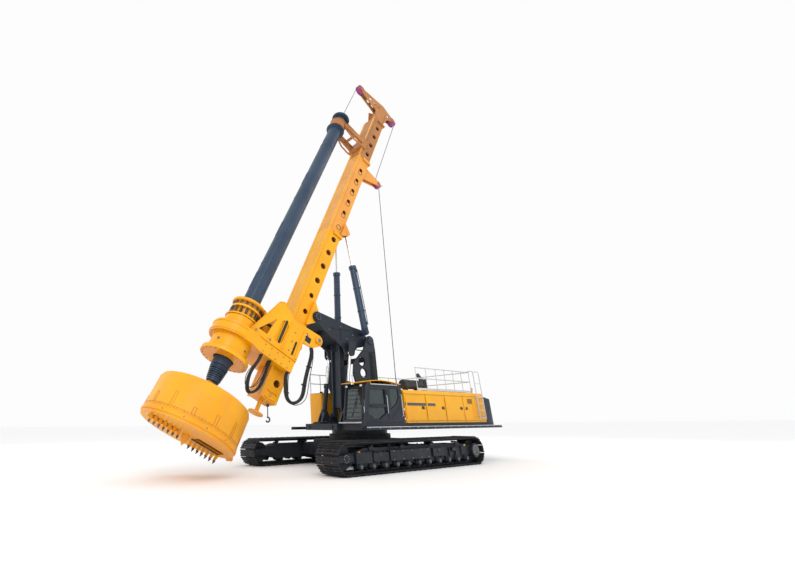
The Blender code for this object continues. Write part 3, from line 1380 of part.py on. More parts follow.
def make_bodies():
    """Every body's empty on its joint axis, in the order of the machine's joints."""
    made = {}

    def add(name, pivot, parent=None):
        made[name] = new_body(f"{name}_axis", pivot, made.get(parent))

    add("undercarriage", (0, 0, 0))
    add("upper", (0, 0, SLEW_Z), "undercarriage")
    add("cab_door", (CAB_X[1] + KNUCKLE_R + GAP, DOOR[1][0], DOOR[1][1]), "upper")
    outside = HOUSE_X + KNUCKLE_R + GAP
    for i, limits in enumerate(LEFT_DOORS, 1):
        add(f"house_door_left_{i}", (outside, limits[0], DOOR_LOW), "upper")
    add("house_door_left_4", (outside, LAST_DOOR[1], DOOR_LOW), "upper")
    for i, limits in enumerate(RIGHT_DOORS, 1):
        add(f"house_door_right_{i}", (-outside, limits[0], DOOR_LOW), "upper")
    for name, (centre, _core, _flange) in zip(("main_winch", "auxiliary_winch"), WINCHES):
        add(name, (0, *centre), "upper")
    add("boom", (0, *lower_end(BOOM_TOP)), "upper")
    add("front_link", (0, *lower_end(LINK_TOP)), "upper")
    add("mast_support", (0, *BOOM_TOP), "boom")
    luff_x = (LUFF_EYE_X[0] + LUFF_EYE_X[1]) / 2
    for side, word in ((1, "left"), (-1, "right")):
        add(f"boom_cylinder_{word}", (side * luff_x, *LUFF_BASE), "upper")
        add(f"boom_cylinder_rod_{word}", (side * luff_x, *LUFF_EYE), f"boom_cylinder_{word}")
        foot, eye = brace_ends(side)
        add(f"mast_cylinder_{word}", foot, "mast_support")
        add(f"mast_cylinder_rod_{word}", eye, f"mast_cylinder_{word}")
    add("mast", mast_point(*PIVOT), "mast_support")
    for name, (s, n) in SHEAVES.items():
        add(name, mast_point(s, n), "mast")
    add("carriage", mast_point(TABLE_S[1], 0), "mast")
    add("drive_sleeve", mast_point(TABLE_S[0], 0), "carriage")
    add("kelly_guide", mast_point(FLANGE_S[0], 0), "mast")
    add("kelly", mast_point(BUCKET_S[1], 0), "kelly_guide")
    add("bucket_floor", mast_point(*FLOOR_HINGE), "kelly")
    return made


def centre_in_plan(root):
    """Moves the whole machine along Y so that its origin is under the middle of its box."""
    bpy.context.view_layer.update()
    reach = [(piece.matrix_world @ v.co).y for piece in rig.objects if piece.type == "MESH" for v in piece.data.vertices]
    root.location.y -= (min(reach) + max(reach)) / 2


def main():
    bodies = make_bodies()
    build_undercarriage(bodies["undercarriage"])
    build_upper(bodies)
    build_cab(bodies["upper"], bodies["cab_door"])
    keep("boom", boom(), bodies["boom"], SLATE)
    keep("front_link", front_link(), bodies["front_link"], SLATE)
    keep("mast_support", mast_support(), bodies["mast_support"], BLUE_SLATE)
    build_luff_cylinders(bodies)
    build_braces(bodies)
    build_mast(bodies)
    centre_in_plan(bodies["undercarriage"])


for old in list(bpy.data.objects):
    bpy.data.objects.remove(old)
rig = bpy.data.collections.new("rotary_piling_rig")
workshop = bpy.data.collections.new("workshop")
for group in (rig, workshop):
    bpy.context.scene.collection.children.link(group)
main()
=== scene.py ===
"""The looks of the rotary piling rig: materials, shoes, ropes, hoses, fittings, light and camera."""

import math

import bmesh
import bpy
from mathutils import Matrix, Vector

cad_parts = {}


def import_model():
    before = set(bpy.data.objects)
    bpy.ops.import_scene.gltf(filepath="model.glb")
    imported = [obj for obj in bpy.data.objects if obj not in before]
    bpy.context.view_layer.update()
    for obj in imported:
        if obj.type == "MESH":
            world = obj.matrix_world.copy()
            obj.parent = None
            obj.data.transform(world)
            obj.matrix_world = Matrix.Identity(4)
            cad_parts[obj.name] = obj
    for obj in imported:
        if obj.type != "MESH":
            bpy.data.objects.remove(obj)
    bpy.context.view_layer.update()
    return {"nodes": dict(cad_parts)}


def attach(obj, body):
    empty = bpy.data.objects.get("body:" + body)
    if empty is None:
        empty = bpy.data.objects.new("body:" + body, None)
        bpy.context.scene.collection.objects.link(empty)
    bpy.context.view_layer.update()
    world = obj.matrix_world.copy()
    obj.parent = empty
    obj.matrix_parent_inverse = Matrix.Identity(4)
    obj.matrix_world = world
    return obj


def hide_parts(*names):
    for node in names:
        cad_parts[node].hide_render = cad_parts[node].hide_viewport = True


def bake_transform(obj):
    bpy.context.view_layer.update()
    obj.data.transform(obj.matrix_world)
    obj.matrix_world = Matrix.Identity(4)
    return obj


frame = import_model()

# --- places

SHIFT = 1.10714
LEAN = math.radians(27.3)
MACHINE = Matrix.Translation((0, SHIFT, 0))
MAST = Matrix.Translation((0, SHIFT - 8.632, 0)) @ Matrix.Rotation(-LEAN, 4, "X")


def world(point):
    return MACHINE @ Vector(point)


def on_mast(s, n, x=0.0):
    return MAST @ Vector((x, n, s))


# --- camera


def camera():
    turn, pitch, roll = math.radians(55.961), math.radians(20.797), math.radians(-0.539)
    ahead = Vector((-math.sin(turn) * math.cos(pitch), math.cos(turn) * math.cos(pitch), math.sin(pitch)))
    over = Vector((math.sin(turn) * math.sin(pitch), -math.cos(turn) * math.sin(pitch), math.cos(pitch)))
    side = Vector((math.cos(turn), math.sin(turn), 0))
    side_turned = side * math.cos(roll) + over * math.sin(roll)
    over_turned = over * math.cos(roll) - side * math.sin(roll)
    data = bpy.data.cameras.new("camera")
    data.lens = 19.15
    data.sensor_width = 36
    data.shift_x = 0.168
    data.shift_y = -0.029
    data.clip_end = 500
    data.dof.use_dof = False
    made = bpy.data.objects.new("camera", data)
    bpy.context.scene.collection.objects.link(made)
    axes = Matrix((side_turned, over_turned, -ahead)).transposed().to_4x4()
    made.matrix_world = Matrix.Translation((13.843, -13.065, 1.625)) @ axes
    bpy.context.scene.camera = made


camera()

# --- materials


class Nodes:
    """A small helper that wires a procedural material."""

    def __init__(self, name):
        self.material = bpy.data.materials.new(name)
        self.material.use_nodes = True
        self.tree = self.material.node_tree
        self.shader = self.tree.nodes["Principled BSDF"]
        self.place = self.new("ShaderNodeTexCoord").outputs["Object"]

    def new(self, kind, **settings):
        node = self.tree.nodes.new(kind)
        for key, value in settings.items():
            setattr(node, key, value)
        return node

    def link(self, out, to):
        self.tree.links.new(out, to)

    def noise(self, scale, detail=4.0, rough=0.55, place=None):
        node = self.new("ShaderNodeTexNoise")
        node.inputs["Scale"].default_value = scale
        node.inputs["Detail"].default_value = detail
        node.inputs["Roughness"].default_value = rough
        self.link(place or self.place, node.inputs["Vector"])
        return node.outputs["Fac"]

    def stretched(self, scale):
        node = self.new("ShaderNodeMapping")
        node.inputs["Scale"].default_value = scale
        self.link(self.place, node.inputs["Vector"])
        return node.outputs["Vector"]

    def ramp(self, value, low, high, start=0.0, end=1.0):
        node = self.new("ShaderNodeMapRange")
        node.inputs["From Min"].default_value = low
        node.inputs["From Max"].default_value = high
        node.inputs["To Min"].default_value = start
        node.inputs["To Max"].default_value = end
        self.link(value, node.inputs["Value"])
        return node.outputs["Result"]

    def times(self, a, b):
        node = self.new("ShaderNodeMath", operation="MULTIPLY")
        self.link(a, node.inputs[0])
        self.link(b, node.inputs[1])
        return node.outputs["Value"]

    def mix(self, share, a, b):
        node = self.new("ShaderNodeMix", data_type="RGBA")
        self.link(share, node.inputs["Factor"])
        for value, socket in ((a, node.inputs[6]), (b, node.inputs[7])):
            if isinstance(value, tuple):
                socket.default_value = (*value, 1)
            else:
                self.link(value, socket)
        return node.outputs[2]

    def bump(self, height, distance, strength=0.5, before=None):
        node = self.new("ShaderNodeBump")
        node.inputs["Distance"].default_value = distance
        node.inputs["Strength"].default_value = strength
        self.link(height, node.inputs["Height"])
        if before is not None:
            self.link(before, node.inputs["Normal"])
        return node.outputs["Normal"]

    def height(self):
        node = self.new("ShaderNodeSeparateXYZ")
        self.link(self.place, node.inputs["Vector"])
        return node.outputs["Z"]

    def done(self, colour, rough, normal=None):
        self.link(colour, self.shader.inputs["Base Color"])
        self.link(rough, self.shader.inputs["Roughness"])
        if normal is not None:
            self.link(normal, self.shader.inputs["Normal"])
        return self.material


def paint(name, colour, shade, gloss=0.34, coat=0.3, dust=0.25, dust_colour=(0.30, 0.25, 0.19)):
    """Sprayed paint: colour drift, thin dust that gathers low down, chips and a soft orange peel."""
    n = Nodes(name)
    drift = n.ramp(n.noise(0.55, 3), 0.35, 0.68)
    base = n.mix(drift, colour, shade)
    streaks = n.ramp(n.noise(1.0, 6, 0.7, n.stretched((5.0, 5.0, 0.5))), 0.60, 0.80, 0.0, 0.22)
    base = n.mix(streaks, base, tuple(0.55 * c for c in shade))
    low = n.ramp(n.height(), 0.1, 3.2, 1.0, 0.15)
    dirt = n.times(n.ramp(n.noise(3.1, 8, 0.68), 0.42, 0.72, 0.0, dust), low)
    base = n.mix(dirt, base, dust_colour)
    chips = n.ramp(n.noise(17, 5, 0.8), 0.745, 0.765)
    base = n.mix(chips, base, tuple(0.35 * c for c in shade))
    rough = n.ramp(n.noise(6, 5), 0.3, 0.7, gloss - 0.07, gloss + 0.13)
    peel = n.bump(n.noise(160, 2), 0.0006, 0.25)
    wave = n.bump(n.noise(1.7, 2), 0.004, 0.22, peel)
    n.shader.inputs["Specular IOR Level"].default_value = 0.30
    n.shader.inputs["Coat Weight"].default_value = coat
    n.shader.inputs["Coat Roughness"].default_value = 0.18
    return n.done(base, rough, wave)


def metal(name, colour, shade, gloss, grain=(60.0, 60.0, 3.0), metallic=1.0):
    """Bare or plated steel with a fine grain along one way and patches of grease."""
    n = Nodes(name)
    lines = n.noise(1.0, 4, 0.6, n.stretched(grain))
    base = n.mix(n.ramp(n.noise(2.5, 6), 0.4, 0.7), colour, shade)
    base = n.mix(n.ramp(lines, 0.35, 0.75, 0.0, 0.35), base, tuple(0.6 * c for c in shade))
    rough = n.ramp(n.noise(9, 6, 0.7), 0.3, 0.75, gloss, gloss + 0.22)
    n.shader.inputs["Metallic"].default_value = metallic
    return n.done(base, rough, n.bump(lines, 0.0008, 0.3))


def soft(name, colour, shade, gloss=0.6, grain=90.0, depth=0.0012, dust=0.15):
    """Rubber, plastic or woven cloth: fine grain, with dust lying in it."""
    n = Nodes(name)
    fine = n.noise(grain, 3, 0.6)
    base = n.mix(n.ramp(n.noise(4, 5), 0.35, 0.7), colour, shade)
    base = n.mix(n.ramp(n.noise(7, 7, 0.7), 0.5, 0.8, 0.0, dust), base, (0.22, 0.19, 0.15))
    rough = n.ramp(fine, 0.3, 0.7, gloss - 0.1, gloss + 0.15)
    return n.done(base, rough, n.bump(fine, depth, 0.5))


def glass(name, colour=(0.018, 0.052, 0.058)):
    """Dark tinted glass with a film of dust."""
    n = Nodes(name)
    film = n.ramp(n.noise(2.2, 6, 0.65), 0.45, 0.8, 0.0, 0.22)
    base = n.mix(film, colour, (0.20, 0.22, 0.21))
    rough = n.ramp(n.noise(5, 6), 0.35, 0.8, 0.02, 0.16)
    n.shader.inputs["Transmission Weight"].default_value = 0.55
    n.shader.inputs["IOR"].default_value = 1.3
    n.shader.inputs["Coat Weight"].default_value = 0.7
    return n.done(base, rough)


def wound(name, colour, shade, pitch, axis, depth=0.004):
    """A rope or wrapped hose: bands that run round it at an angle."""
    n = Nodes(name)
    wave = n.new("ShaderNodeTexWave", bands_direction=axis)
    wave.inputs["Scale"].default_value = pitch
    wave.inputs["Distortion"].default_value = 1.2
    wave.inputs["Detail"].default_value = 2
    n.link(n.place, wave.inputs["Vector"])
    base = n.mix(wave.outputs["Fac"], shade, colour)
    base = n.mix(n.ramp(n.noise(5, 6), 0.5, 0.8, 0.0, 0.3), base, (0.20, 0.17, 0.13))
    rough = n.ramp(n.noise(20, 4), 0.3, 0.7, 0.35, 0.62)
    return n.done(base, rough, n.bump(wave.outputs["Fac"], depth, 0.6))


def lamp(name, colour, glow):
    n = Nodes(name)
    cells = n.new("ShaderNodeTexVoronoi")
    cells.inputs["Scale"].default_value = 60
    n.link(n.place, cells.inputs["Vector"])
    base = n.mix(n.ramp(cells.outputs["Distance"], 0.1, 0.7), colour, tuple(0.6 * c for c in colour))
    n.shader.inputs["Coat Weight"].default_value = 0.8
    n.shader.inputs["Emission Color"].default_value = (*colour, 1)
    n.shader.inputs["Emission Strength"].default_value = glow
    return n.done(base, n.ramp(n.noise(8), 0.3, 0.7, 0.08, 0.2))


SLATE_DUST = (0.09, 0.085, 0.08)
BLUE_DUST = (0.12, 0.12, 0.12)
YELLOW = paint("yellow_paint", (0.92, 0.435, 0.0), (0.85, 0.365, 0.0), 0.38, 0.12, 0.25)
YELLOW_OLD = paint("yellow_paint_worn", (0.92, 0.42, 0.008), (0.80, 0.32, 0.004), 0.45, 0.08, 0.30)
PALE_ORANGE = paint("upper_mast_paint", (0.86, 0.38, 0.055), (0.72, 0.28, 0.035), 0.42, 0.1, 0.2)
BROWN_ORANGE = paint("head_paint", (0.52, 0.215, 0.055), (0.36, 0.135, 0.032), 0.46, 0.1, 0.2)
SLATE = paint("slate_paint", (0.019, 0.027, 0.040), (0.011, 0.017, 0.027), 0.44, 0.05, 0.14, SLATE_DUST)
BLUE = paint("blue_slate_paint", (0.034, 0.064, 0.110), (0.021, 0.043, 0.080), 0.38, 0.1, 0.12, BLUE_DUST)
RAIL = paint("rail_paint", (0.62, 0.66, 0.70), (0.46, 0.50, 0.54), 0.40, 0.2, 0.2)
STRIPE = paint("stripe_paint", (0.070, 0.076, 0.084), (0.050, 0.055, 0.062), 0.36, 0.3, 0.2)
FRAME_DARK = paint(
    "undercarriage_paint", (0.014, 0.019, 0.028), (0.008, 0.012, 0.018), 0.50, 0.0, 0.30, (0.07, 0.065, 0.06)
)
SHOE = metal("track_steel", (0.040, 0.044, 0.052), (0.016, 0.018, 0.022), 0.46, (3.0, 40.0, 40.0), 0.6)
GREASED = metal("greased_steel", (0.16, 0.16, 0.17), (0.07, 0.07, 0.075), 0.32)
BOLT = metal("bolt_steel", (0.33, 0.34, 0.36), (0.18, 0.18, 0.19), 0.30)
CHROME = metal("chrome_rod", (0.86, 0.88, 0.90), (0.72, 0.74, 0.77), 0.07, (200.0, 200.0, 2.0))
IRON = metal("cast_iron", (0.10, 0.10, 0.105), (0.055, 0.055, 0.06), 0.55, (30.0, 30.0, 30.0), 0.6)
ROPE = wound("wire_rope", (0.20, 0.20, 0.20), (0.045, 0.045, 0.045), 34.0, "DIAGONAL")
HOSE = wound("wrapped_hose", (0.024, 0.026, 0.030), (0.008, 0.009, 0.010), 16.0, "DIAGONAL", 0.008)
RUBBER = soft("black_rubber", (0.020, 0.021, 0.023), (0.011, 0.012, 0.013), 0.62)
PLASTIC = soft("moulded_plastic", (0.028, 0.029, 0.031), (0.018, 0.019, 0.020), 0.5, 140.0, 0.0008)
CLOTH = soft("seat_cloth", (0.045, 0.048, 0.052), (0.028, 0.030, 0.033), 0.85, 260.0, 0.002, 0.08)
MAGENTA = paint("sheave_paint", (0.42, 0.035, 0.20), (0.22, 0.022, 0.16), 0.38, 0.3, 0.2)
GLASS = glass("tinted_glass")
MIRROR = metal("mirror_glass", (0.90, 0.92, 0.94), (0.80, 0.83, 0.86), 0.02, (2.0, 2.0, 2.0))
LAMP_WHITE = lamp("lamp_glass", (0.85, 0.88, 0.90), 0.25)
LAMP_RED = lamp("lamp_red", (0.80, 0.02, 0.015), 0.15)
LAMP_AMBER = lamp("lamp_amber", (0.95, 0.36, 0.02), 0.2)

MATERIAL_OF = {
    "engine_house": YELLOW,
    "side_tank": YELLOW,
    "cab_roof_guard": YELLOW,
    "mast_lower": YELLOW,
    "mast_upper": PALE_ORANGE,
    "mast_head": BROWN_ORANGE,
    "drive_carriage": YELLOW,
    "drive_gearbox": YELLOW,
    "drive_sleeve": YELLOW,
    "kelly_guide": BROWN_ORANGE,
    "bucket": YELLOW_OLD,
    "bucket_floor": YELLOW_OLD,
    "kelly_bar": BLUE,
    "mast_support": SLATE,
    "mast_cylinder_left": BLUE,
    "mast_cylinder_right": BLUE,
    "handrails": RAIL,
    "ladder": RAIL,
    "engine_block": IRON,
    "track_frame_left": FRAME_DARK,
    "track_frame_right": FRAME_DARK,
    "carbody": FRAME_DARK,
    "exhaust": IRON,
    "auxiliary_hook": IRON,
    "front_sheave": MAGENTA,
    "rear_sheave": MAGENTA,
    "auxiliary_sheave": MAGENTA,
    "main_winch": GREASED,
    "auxiliary_winch": GREASED,
    "control_console": PLASTIC,
}


def smoothing():
    """A node group for the modifier that follows the weld: it drops custom normals and shades a solid's turned
    faces round.
    """
    tree = bpy.data.node_groups.new("soft_shading", "GeometryNodeTree")
    tree.interface.new_socket("Geometry", in_out="INPUT", socket_type="NodeSocketGeometry")
    tree.interface.new_socket("Geometry", in_out="OUTPUT", socket_type="NodeSocketGeometry")
    start = tree.nodes.new("NodeGroupInput")
    end = tree.nodes.new("NodeGroupOutput")
    plain = tree.nodes.new("GeometryNodeRemoveAttribute")
    plain.inputs["Name"].default_value = "custom_normal"
    faces = tree.nodes.new("GeometryNodeSetShadeSmooth")
    faces.domain = "FACE"
    faces.inputs["Shade Smooth"].default_value = True
    edges = tree.nodes.new("GeometryNodeSetShadeSmooth")
    edges.domain = "EDGE"
    angle = tree.nodes.new("GeometryNodeInputMeshEdgeAngle")
    less = tree.nodes.new("FunctionNodeCompare")
    less.operation = "LESS_THAN"
    less.inputs["B"].default_value = math.radians(38)
    link = tree.links.new
    link(start.outputs[0], plain.inputs["Geometry"])
    link(plain.outputs["Geometry"], faces.inputs["Geometry"])
    link(faces.outputs["Geometry"], edges.inputs["Geometry"])
    link(angle.outputs["Unsigned Angle"], less.inputs["A"])
    link(less.outputs["Result"], edges.inputs["Shade Smooth"])
    link(edges.outputs["Geometry"], end.inputs[0])
    return tree


SMOOTHING = smoothing()


def finish_nodes():
    for name, obj in frame["nodes"].items():
        if name.endswith("_glass") or name == "cab_windscreen":
            chosen = GLASS
        elif "cylinder_rod" in name:
            chosen = CHROME
        elif name.startswith("house_door"):
            chosen = YELLOW
        else:
            chosen = MATERIAL_OF.get(name, SLATE)
        obj.data.materials.clear()
        obj.data.materials.append(chosen)
        weld = obj.modifiers.new("weld", "WELD")
        weld.merge_threshold = 0.00005
        shade = obj.modifiers.new("shade", "NODES")
        shade.node_group = SMOOTHING


finish_nodes()

# --- shapes


class Kit:
    """Many small solids of one material that ride on one body, made into one mesh."""

    def __init__(self, name, body, material, place=MACHINE):
        self.name, self.body, self.material, self.place = name, body, material, place
        self.mesh = bmesh.new()

    def box(self, x, y, z, edge=0.008, turn=None):
        middle = Vector([(a + b) / 2 for a, b in (x, y, z)])
        size = [abs(b - a) for a, b in (x, y, z)]
        shape = Matrix.Translation(middle) @ (turn or Matrix()) @ Matrix.Diagonal((*size, 1))
        made = bmesh.ops.create_cube(self.mesh, size=1, matrix=shape)
        edge = min(edge, 0.3 * min(size))
        if edge > 0.0005:
            edges = list(dict.fromkeys(e for v in made["verts"] for e in v.link_edges))
            bmesh.ops.bevel(self.mesh, geom=edges, offset=edge, segments=1, affect="EDGES")
        return self

    def rod(self, a, b, radius, sides=16, end_radius=None, edge=0.12):
        """A round bar with chamfered ends."""
        a, b = Vector(a), Vector(b)
        way = b - a
        turn = Matrix.Translation(a) @ way.to_track_quat("Z", "Y").to_matrix().to_4x4()
        r2 = radius if end_radius is None else end_radius
        inset = min(edge * radius, 0.4 * way.length)
        profile = [(radius - inset, 0), (radius, inset), (r2, way.length - inset), (r2 - inset, way.length)]
        return self.lathe(profile, turn, sides, True)

    def lathe(self, profile, turn=Matrix(), sides=24, capped=False, part=math.tau):
        """A profile of (radius, height) turned about Z."""
        whole = part > math.tau - 0.001
        count = sides if whole else sides + 1
        rings = []
        for radius, height in profile:
            angles = [part * i / sides for i in range(count)]
            spots = [turn @ Vector((radius * math.cos(a), radius * math.sin(a), height)) for a in angles]
            rings.append([self.mesh.verts.new(spot) for spot in spots])
        for low, high in zip(rings, rings[1:]):
            for i in range(sides):
                j = (i + 1) % count
                self.mesh.faces.new((low[i], low[j], high[j], high[i]))
        if capped:
            self.mesh.faces.new(rings[0][::-1])
            self.mesh.faces.new(rings[-1])
        return self

    def ring(self, centre, axis, radius, thick, sides=28, around=8):
        """A round ring about an axis."""
        turn = Matrix.Translation(centre) @ Vector(axis).to_track_quat("Z", "Y").to_matrix().to_4x4()
        steps = [math.tau * i / around for i in range(around + 1)]
        return self.lathe([(radius + thick * math.cos(a), thick * math.sin(a)) for a in steps], turn, sides)

    def tube(self, points, radius, sides=8):
        """A round tube through points."""
        points = [Vector(p) for p in points]
        rings = []
        side = None
        for i, point in enumerate(points):
            ahead = (points[min(i + 1, len(points) - 1)] - points[max(i - 1, 0)]).normalized()
            if side is None:
                side = ahead.orthogonal().normalized()
            side = (side - ahead * side.dot(ahead)).normalized()
            up = ahead.cross(side)
            angles = [math.tau * k / sides for k in range(sides)]
            spots = [point + radius * (side * math.cos(a) + up * math.sin(a)) for a in angles]
            rings.append([self.mesh.verts.new(spot) for spot in spots])
        for low, high in zip(rings, rings[1:]):
            for i in range(sides):
                j = (i + 1) % sides
                self.mesh.faces.new((low[i], low[j], high[j], high[i]))
        self.mesh.faces.new(rings[0][::-1])
        self.mesh.faces.new(rings[-1])
        return self

    def plate(self, axis, limits, outline):
        """An outline in the plane across an axis, as thick as its limits."""
        spot = {"x": (1, 2), "y": (0, 2), "z": (0, 1)}[axis]
        own = {"x": 0, "y": 1, "z": 2}[axis]
        rings = []
        for limit in limits:
            ring = []
            for p in outline:
                place = [0.0, 0.0, 0.0]
                place[own] = limit
                place[spot[0]], place[spot[1]] = p
                ring.append(self.mesh.verts.new(place))
            rings.append(ring)
        low, high = rings
        for i in range(len(outline)):
            j = (i + 1) % len(outline)
            self.mesh.faces.new((low[i], low[j], high[j], high[i]))
        self.mesh.faces.new(low[::-1])
        self.mesh.faces.new(high)
        return self

    def bolt(self, spot, axis, radius=0.022, rise=0.018):
        """A hexagon head on a washer."""
        axis = Vector(axis).normalized()
        spot = Vector(spot)
        self.rod(spot, spot + axis * rise * 0.3, radius * 1.45, 12)
        return self.rod(spot + axis * rise * 0.25, spot + axis * rise, radius, 6, edge=0.15)

    def circle_of_bolts(self, centre, axis, radius, count, size=0.022, rise=0.02, start=0.0):
        axis = Vector(axis).normalized()
        side = axis.orthogonal().normalized()
        up = axis.cross(side)
        for i in range(count):
            a = start + math.tau * i / count
            self.bolt(Vector(centre) + radius * (side * math.cos(a) + up * math.sin(a)), axis, size, rise)
        return self

    def done(self, replaced=(), blend=None):
        bmesh.ops.recalc_face_normals(self.mesh, faces=self.mesh.faces)
        data = bpy.data.meshes.new(self.name)
        self.mesh.to_mesh(data)
        self.mesh.free()
        data.transform(self.place)
        data.materials.append(self.material)
        data.shade_smooth()
        data.set_sharp_from_angle(angle=math.radians(38))
        made = bpy.data.objects.new(self.name, data)
        bpy.context.scene.collection.objects.link(made)
        if blend:
            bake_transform(made)
        else:
            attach(made, self.body)
        if replaced:
            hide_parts(*replaced)
        return made


BOTH = (1, -1)


def span(side, a, b):
    """The limits across X of something on one side of the middle plane."""
    return sorted((side * a, side * b))


def ring_point(angle, radius, height, x=0.0, y=0.0):
    return (x + radius * math.cos(angle), y + radius * math.sin(angle), height)

# --- hoses (the two free cords)

HOSE_R = 0.045


def smoothed(route, rounds=3):
    points = [Vector(p) for p in route]
    for _ in range(rounds):
        eased = [points[0]]
        for a, b in zip(points, points[1:]):
            eased += [0.75 * a + 0.25 * b, 0.25 * a + 0.75 * b]
        points = [*eased, points[-1]]
    return points


def free_hose(name, node, x, route):
    points = [MAST @ Vector((x, p.x, p.y)) for p in smoothed([(*p, 0) for p in route])]
    curve = bpy.data.curves.new(name, "CURVE")
    curve.dimensions = "3D"
    curve.bevel_depth = HOSE_R
    curve.bevel_resolution = 5
    curve.use_fill_caps = True
    spline = curve.splines.new("POLY")
    spline.points.add(len(points) - 1)
    for spot, point in zip(spline.points, points):
        spot.co = (*point, 1)
    curve.materials.append(HOSE)
    made = bpy.data.objects.new(name, curve)
    bpy.context.scene.collection.objects.link(made)
    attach(made, "carriage")
    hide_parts(node)
    return made


TABLE_LOW = 5.05
FRONT_TOP = TABLE_LOW - 0.0006
FRONT_ROUTE = [(1.02, FRONT_TOP), (1.02, 4.8), (0.86, 4.1), (1.12, 3.5), (1.52, 3.9), (1.46, 4.8)]
FRONT_ROUTE += [(1.46, FRONT_TOP)]
ARM_LOW = TABLE_LOW - 0.0003
REAR_ROUTE = [(2.90, 6.50), (3.05, 6.3), (3.12, 5.3), (3.34, 4.4), (2.72, 4.0), (2.28, 4.8), (2.28, ARM_LOW)]


def hoses():
    free_hose("hose_bundle_front", "drive_hoses_front", 0.60, FRONT_ROUTE)
    free_hose("hose_bundle_rear", "drive_hoses_rear", 0.68, REAR_ROUTE)


if "drive_hoses_front" in frame["nodes"]:
    hoses()

# --- tracks

WHEEL_Y, WHEEL_Z, GROUSER, SHOES = 3.61, 0.525, 0.035, 60
TRACK_X = 2.45


def belt_place(travel):
    """Where a shoe sits on the loop: its middle, and the turn that lays it flat on the belt."""
    straight = 2 * WHEEL_Y
    reach = WHEEL_Z - GROUSER
    bend = math.pi * reach
    travel %= 2 * (straight + bend)
    if travel < straight:
        return -WHEEL_Y + travel, WHEEL_Z, -math.pi / 2
    if travel < straight + bend:
        return WHEEL_Y, WHEEL_Z, -math.pi / 2 + (travel - straight) / reach
    if travel < 2 * straight + bend:
        return WHEEL_Y - (travel - straight - bend), WHEEL_Z, math.pi / 2
    return -WHEEL_Y, WHEEL_Z, math.pi / 2 + (travel - 2 * straight - bend) / reach


def track(side, word):
    pitch = (4 * WHEEL_Y + math.tau * (WHEEL_Z - GROUSER)) / SHOES
    half = 0.54
    shoes = Kit(f"track_shoes_{word}", "undercarriage", SHOE)
    bolts = Kit(f"track_bolts_{word}", "undercarriage", BOLT)
    for i in range(SHOES):
        y, z, angle = belt_place((i + 0.5) * pitch)
        turn = Matrix.Translation((side * TRACK_X, y, z)) @ Matrix.Rotation(angle - math.pi / 2, 4, "X")
        keep = shoes.mesh
        shoes.mesh = bmesh.new()
        shoes.box((-half, half), (-0.47 * pitch, 0.45 * pitch), (0.462, 0.488), 0.004)
        for along, rise in ((-0.40, 0.525), (-0.02, 0.517), (0.34, 0.525)):
            shoes.box((-half, half), (along * pitch, along * pitch + 0.022), (0.480, rise), 0.005)
        for x in (-0.14, 0.14):
            shoes.box((x - 0.03, x + 0.03), (-0.56 * pitch, 0.46 * pitch), (0.388, 0.465), 0.012)
        shoes.rod((-0.19, -0.5 * pitch, 0.425), (0.19, -0.5 * pitch, 0.425), 0.026, 10)
        piece = shoes.mesh
        shoes.mesh = keep
        piece.transform(turn)
        data = bpy.data.meshes.new("shoe")
        piece.to_mesh(data)
        piece.free()
        shoes.mesh.from_mesh(data)
        bpy.data.meshes.remove(data)
        for x in (-0.24, 0.24):
            for along in (-0.2, 0.16):
                spot = turn @ Vector((x, along * pitch, 0.488))
                bolts.rod(spot, spot + (turn.to_3x3() @ Vector((0, 0, 0.014))), 0.016, 6)
    shoes.done(replaced=(f"track_{word}",))
    bolts.done()


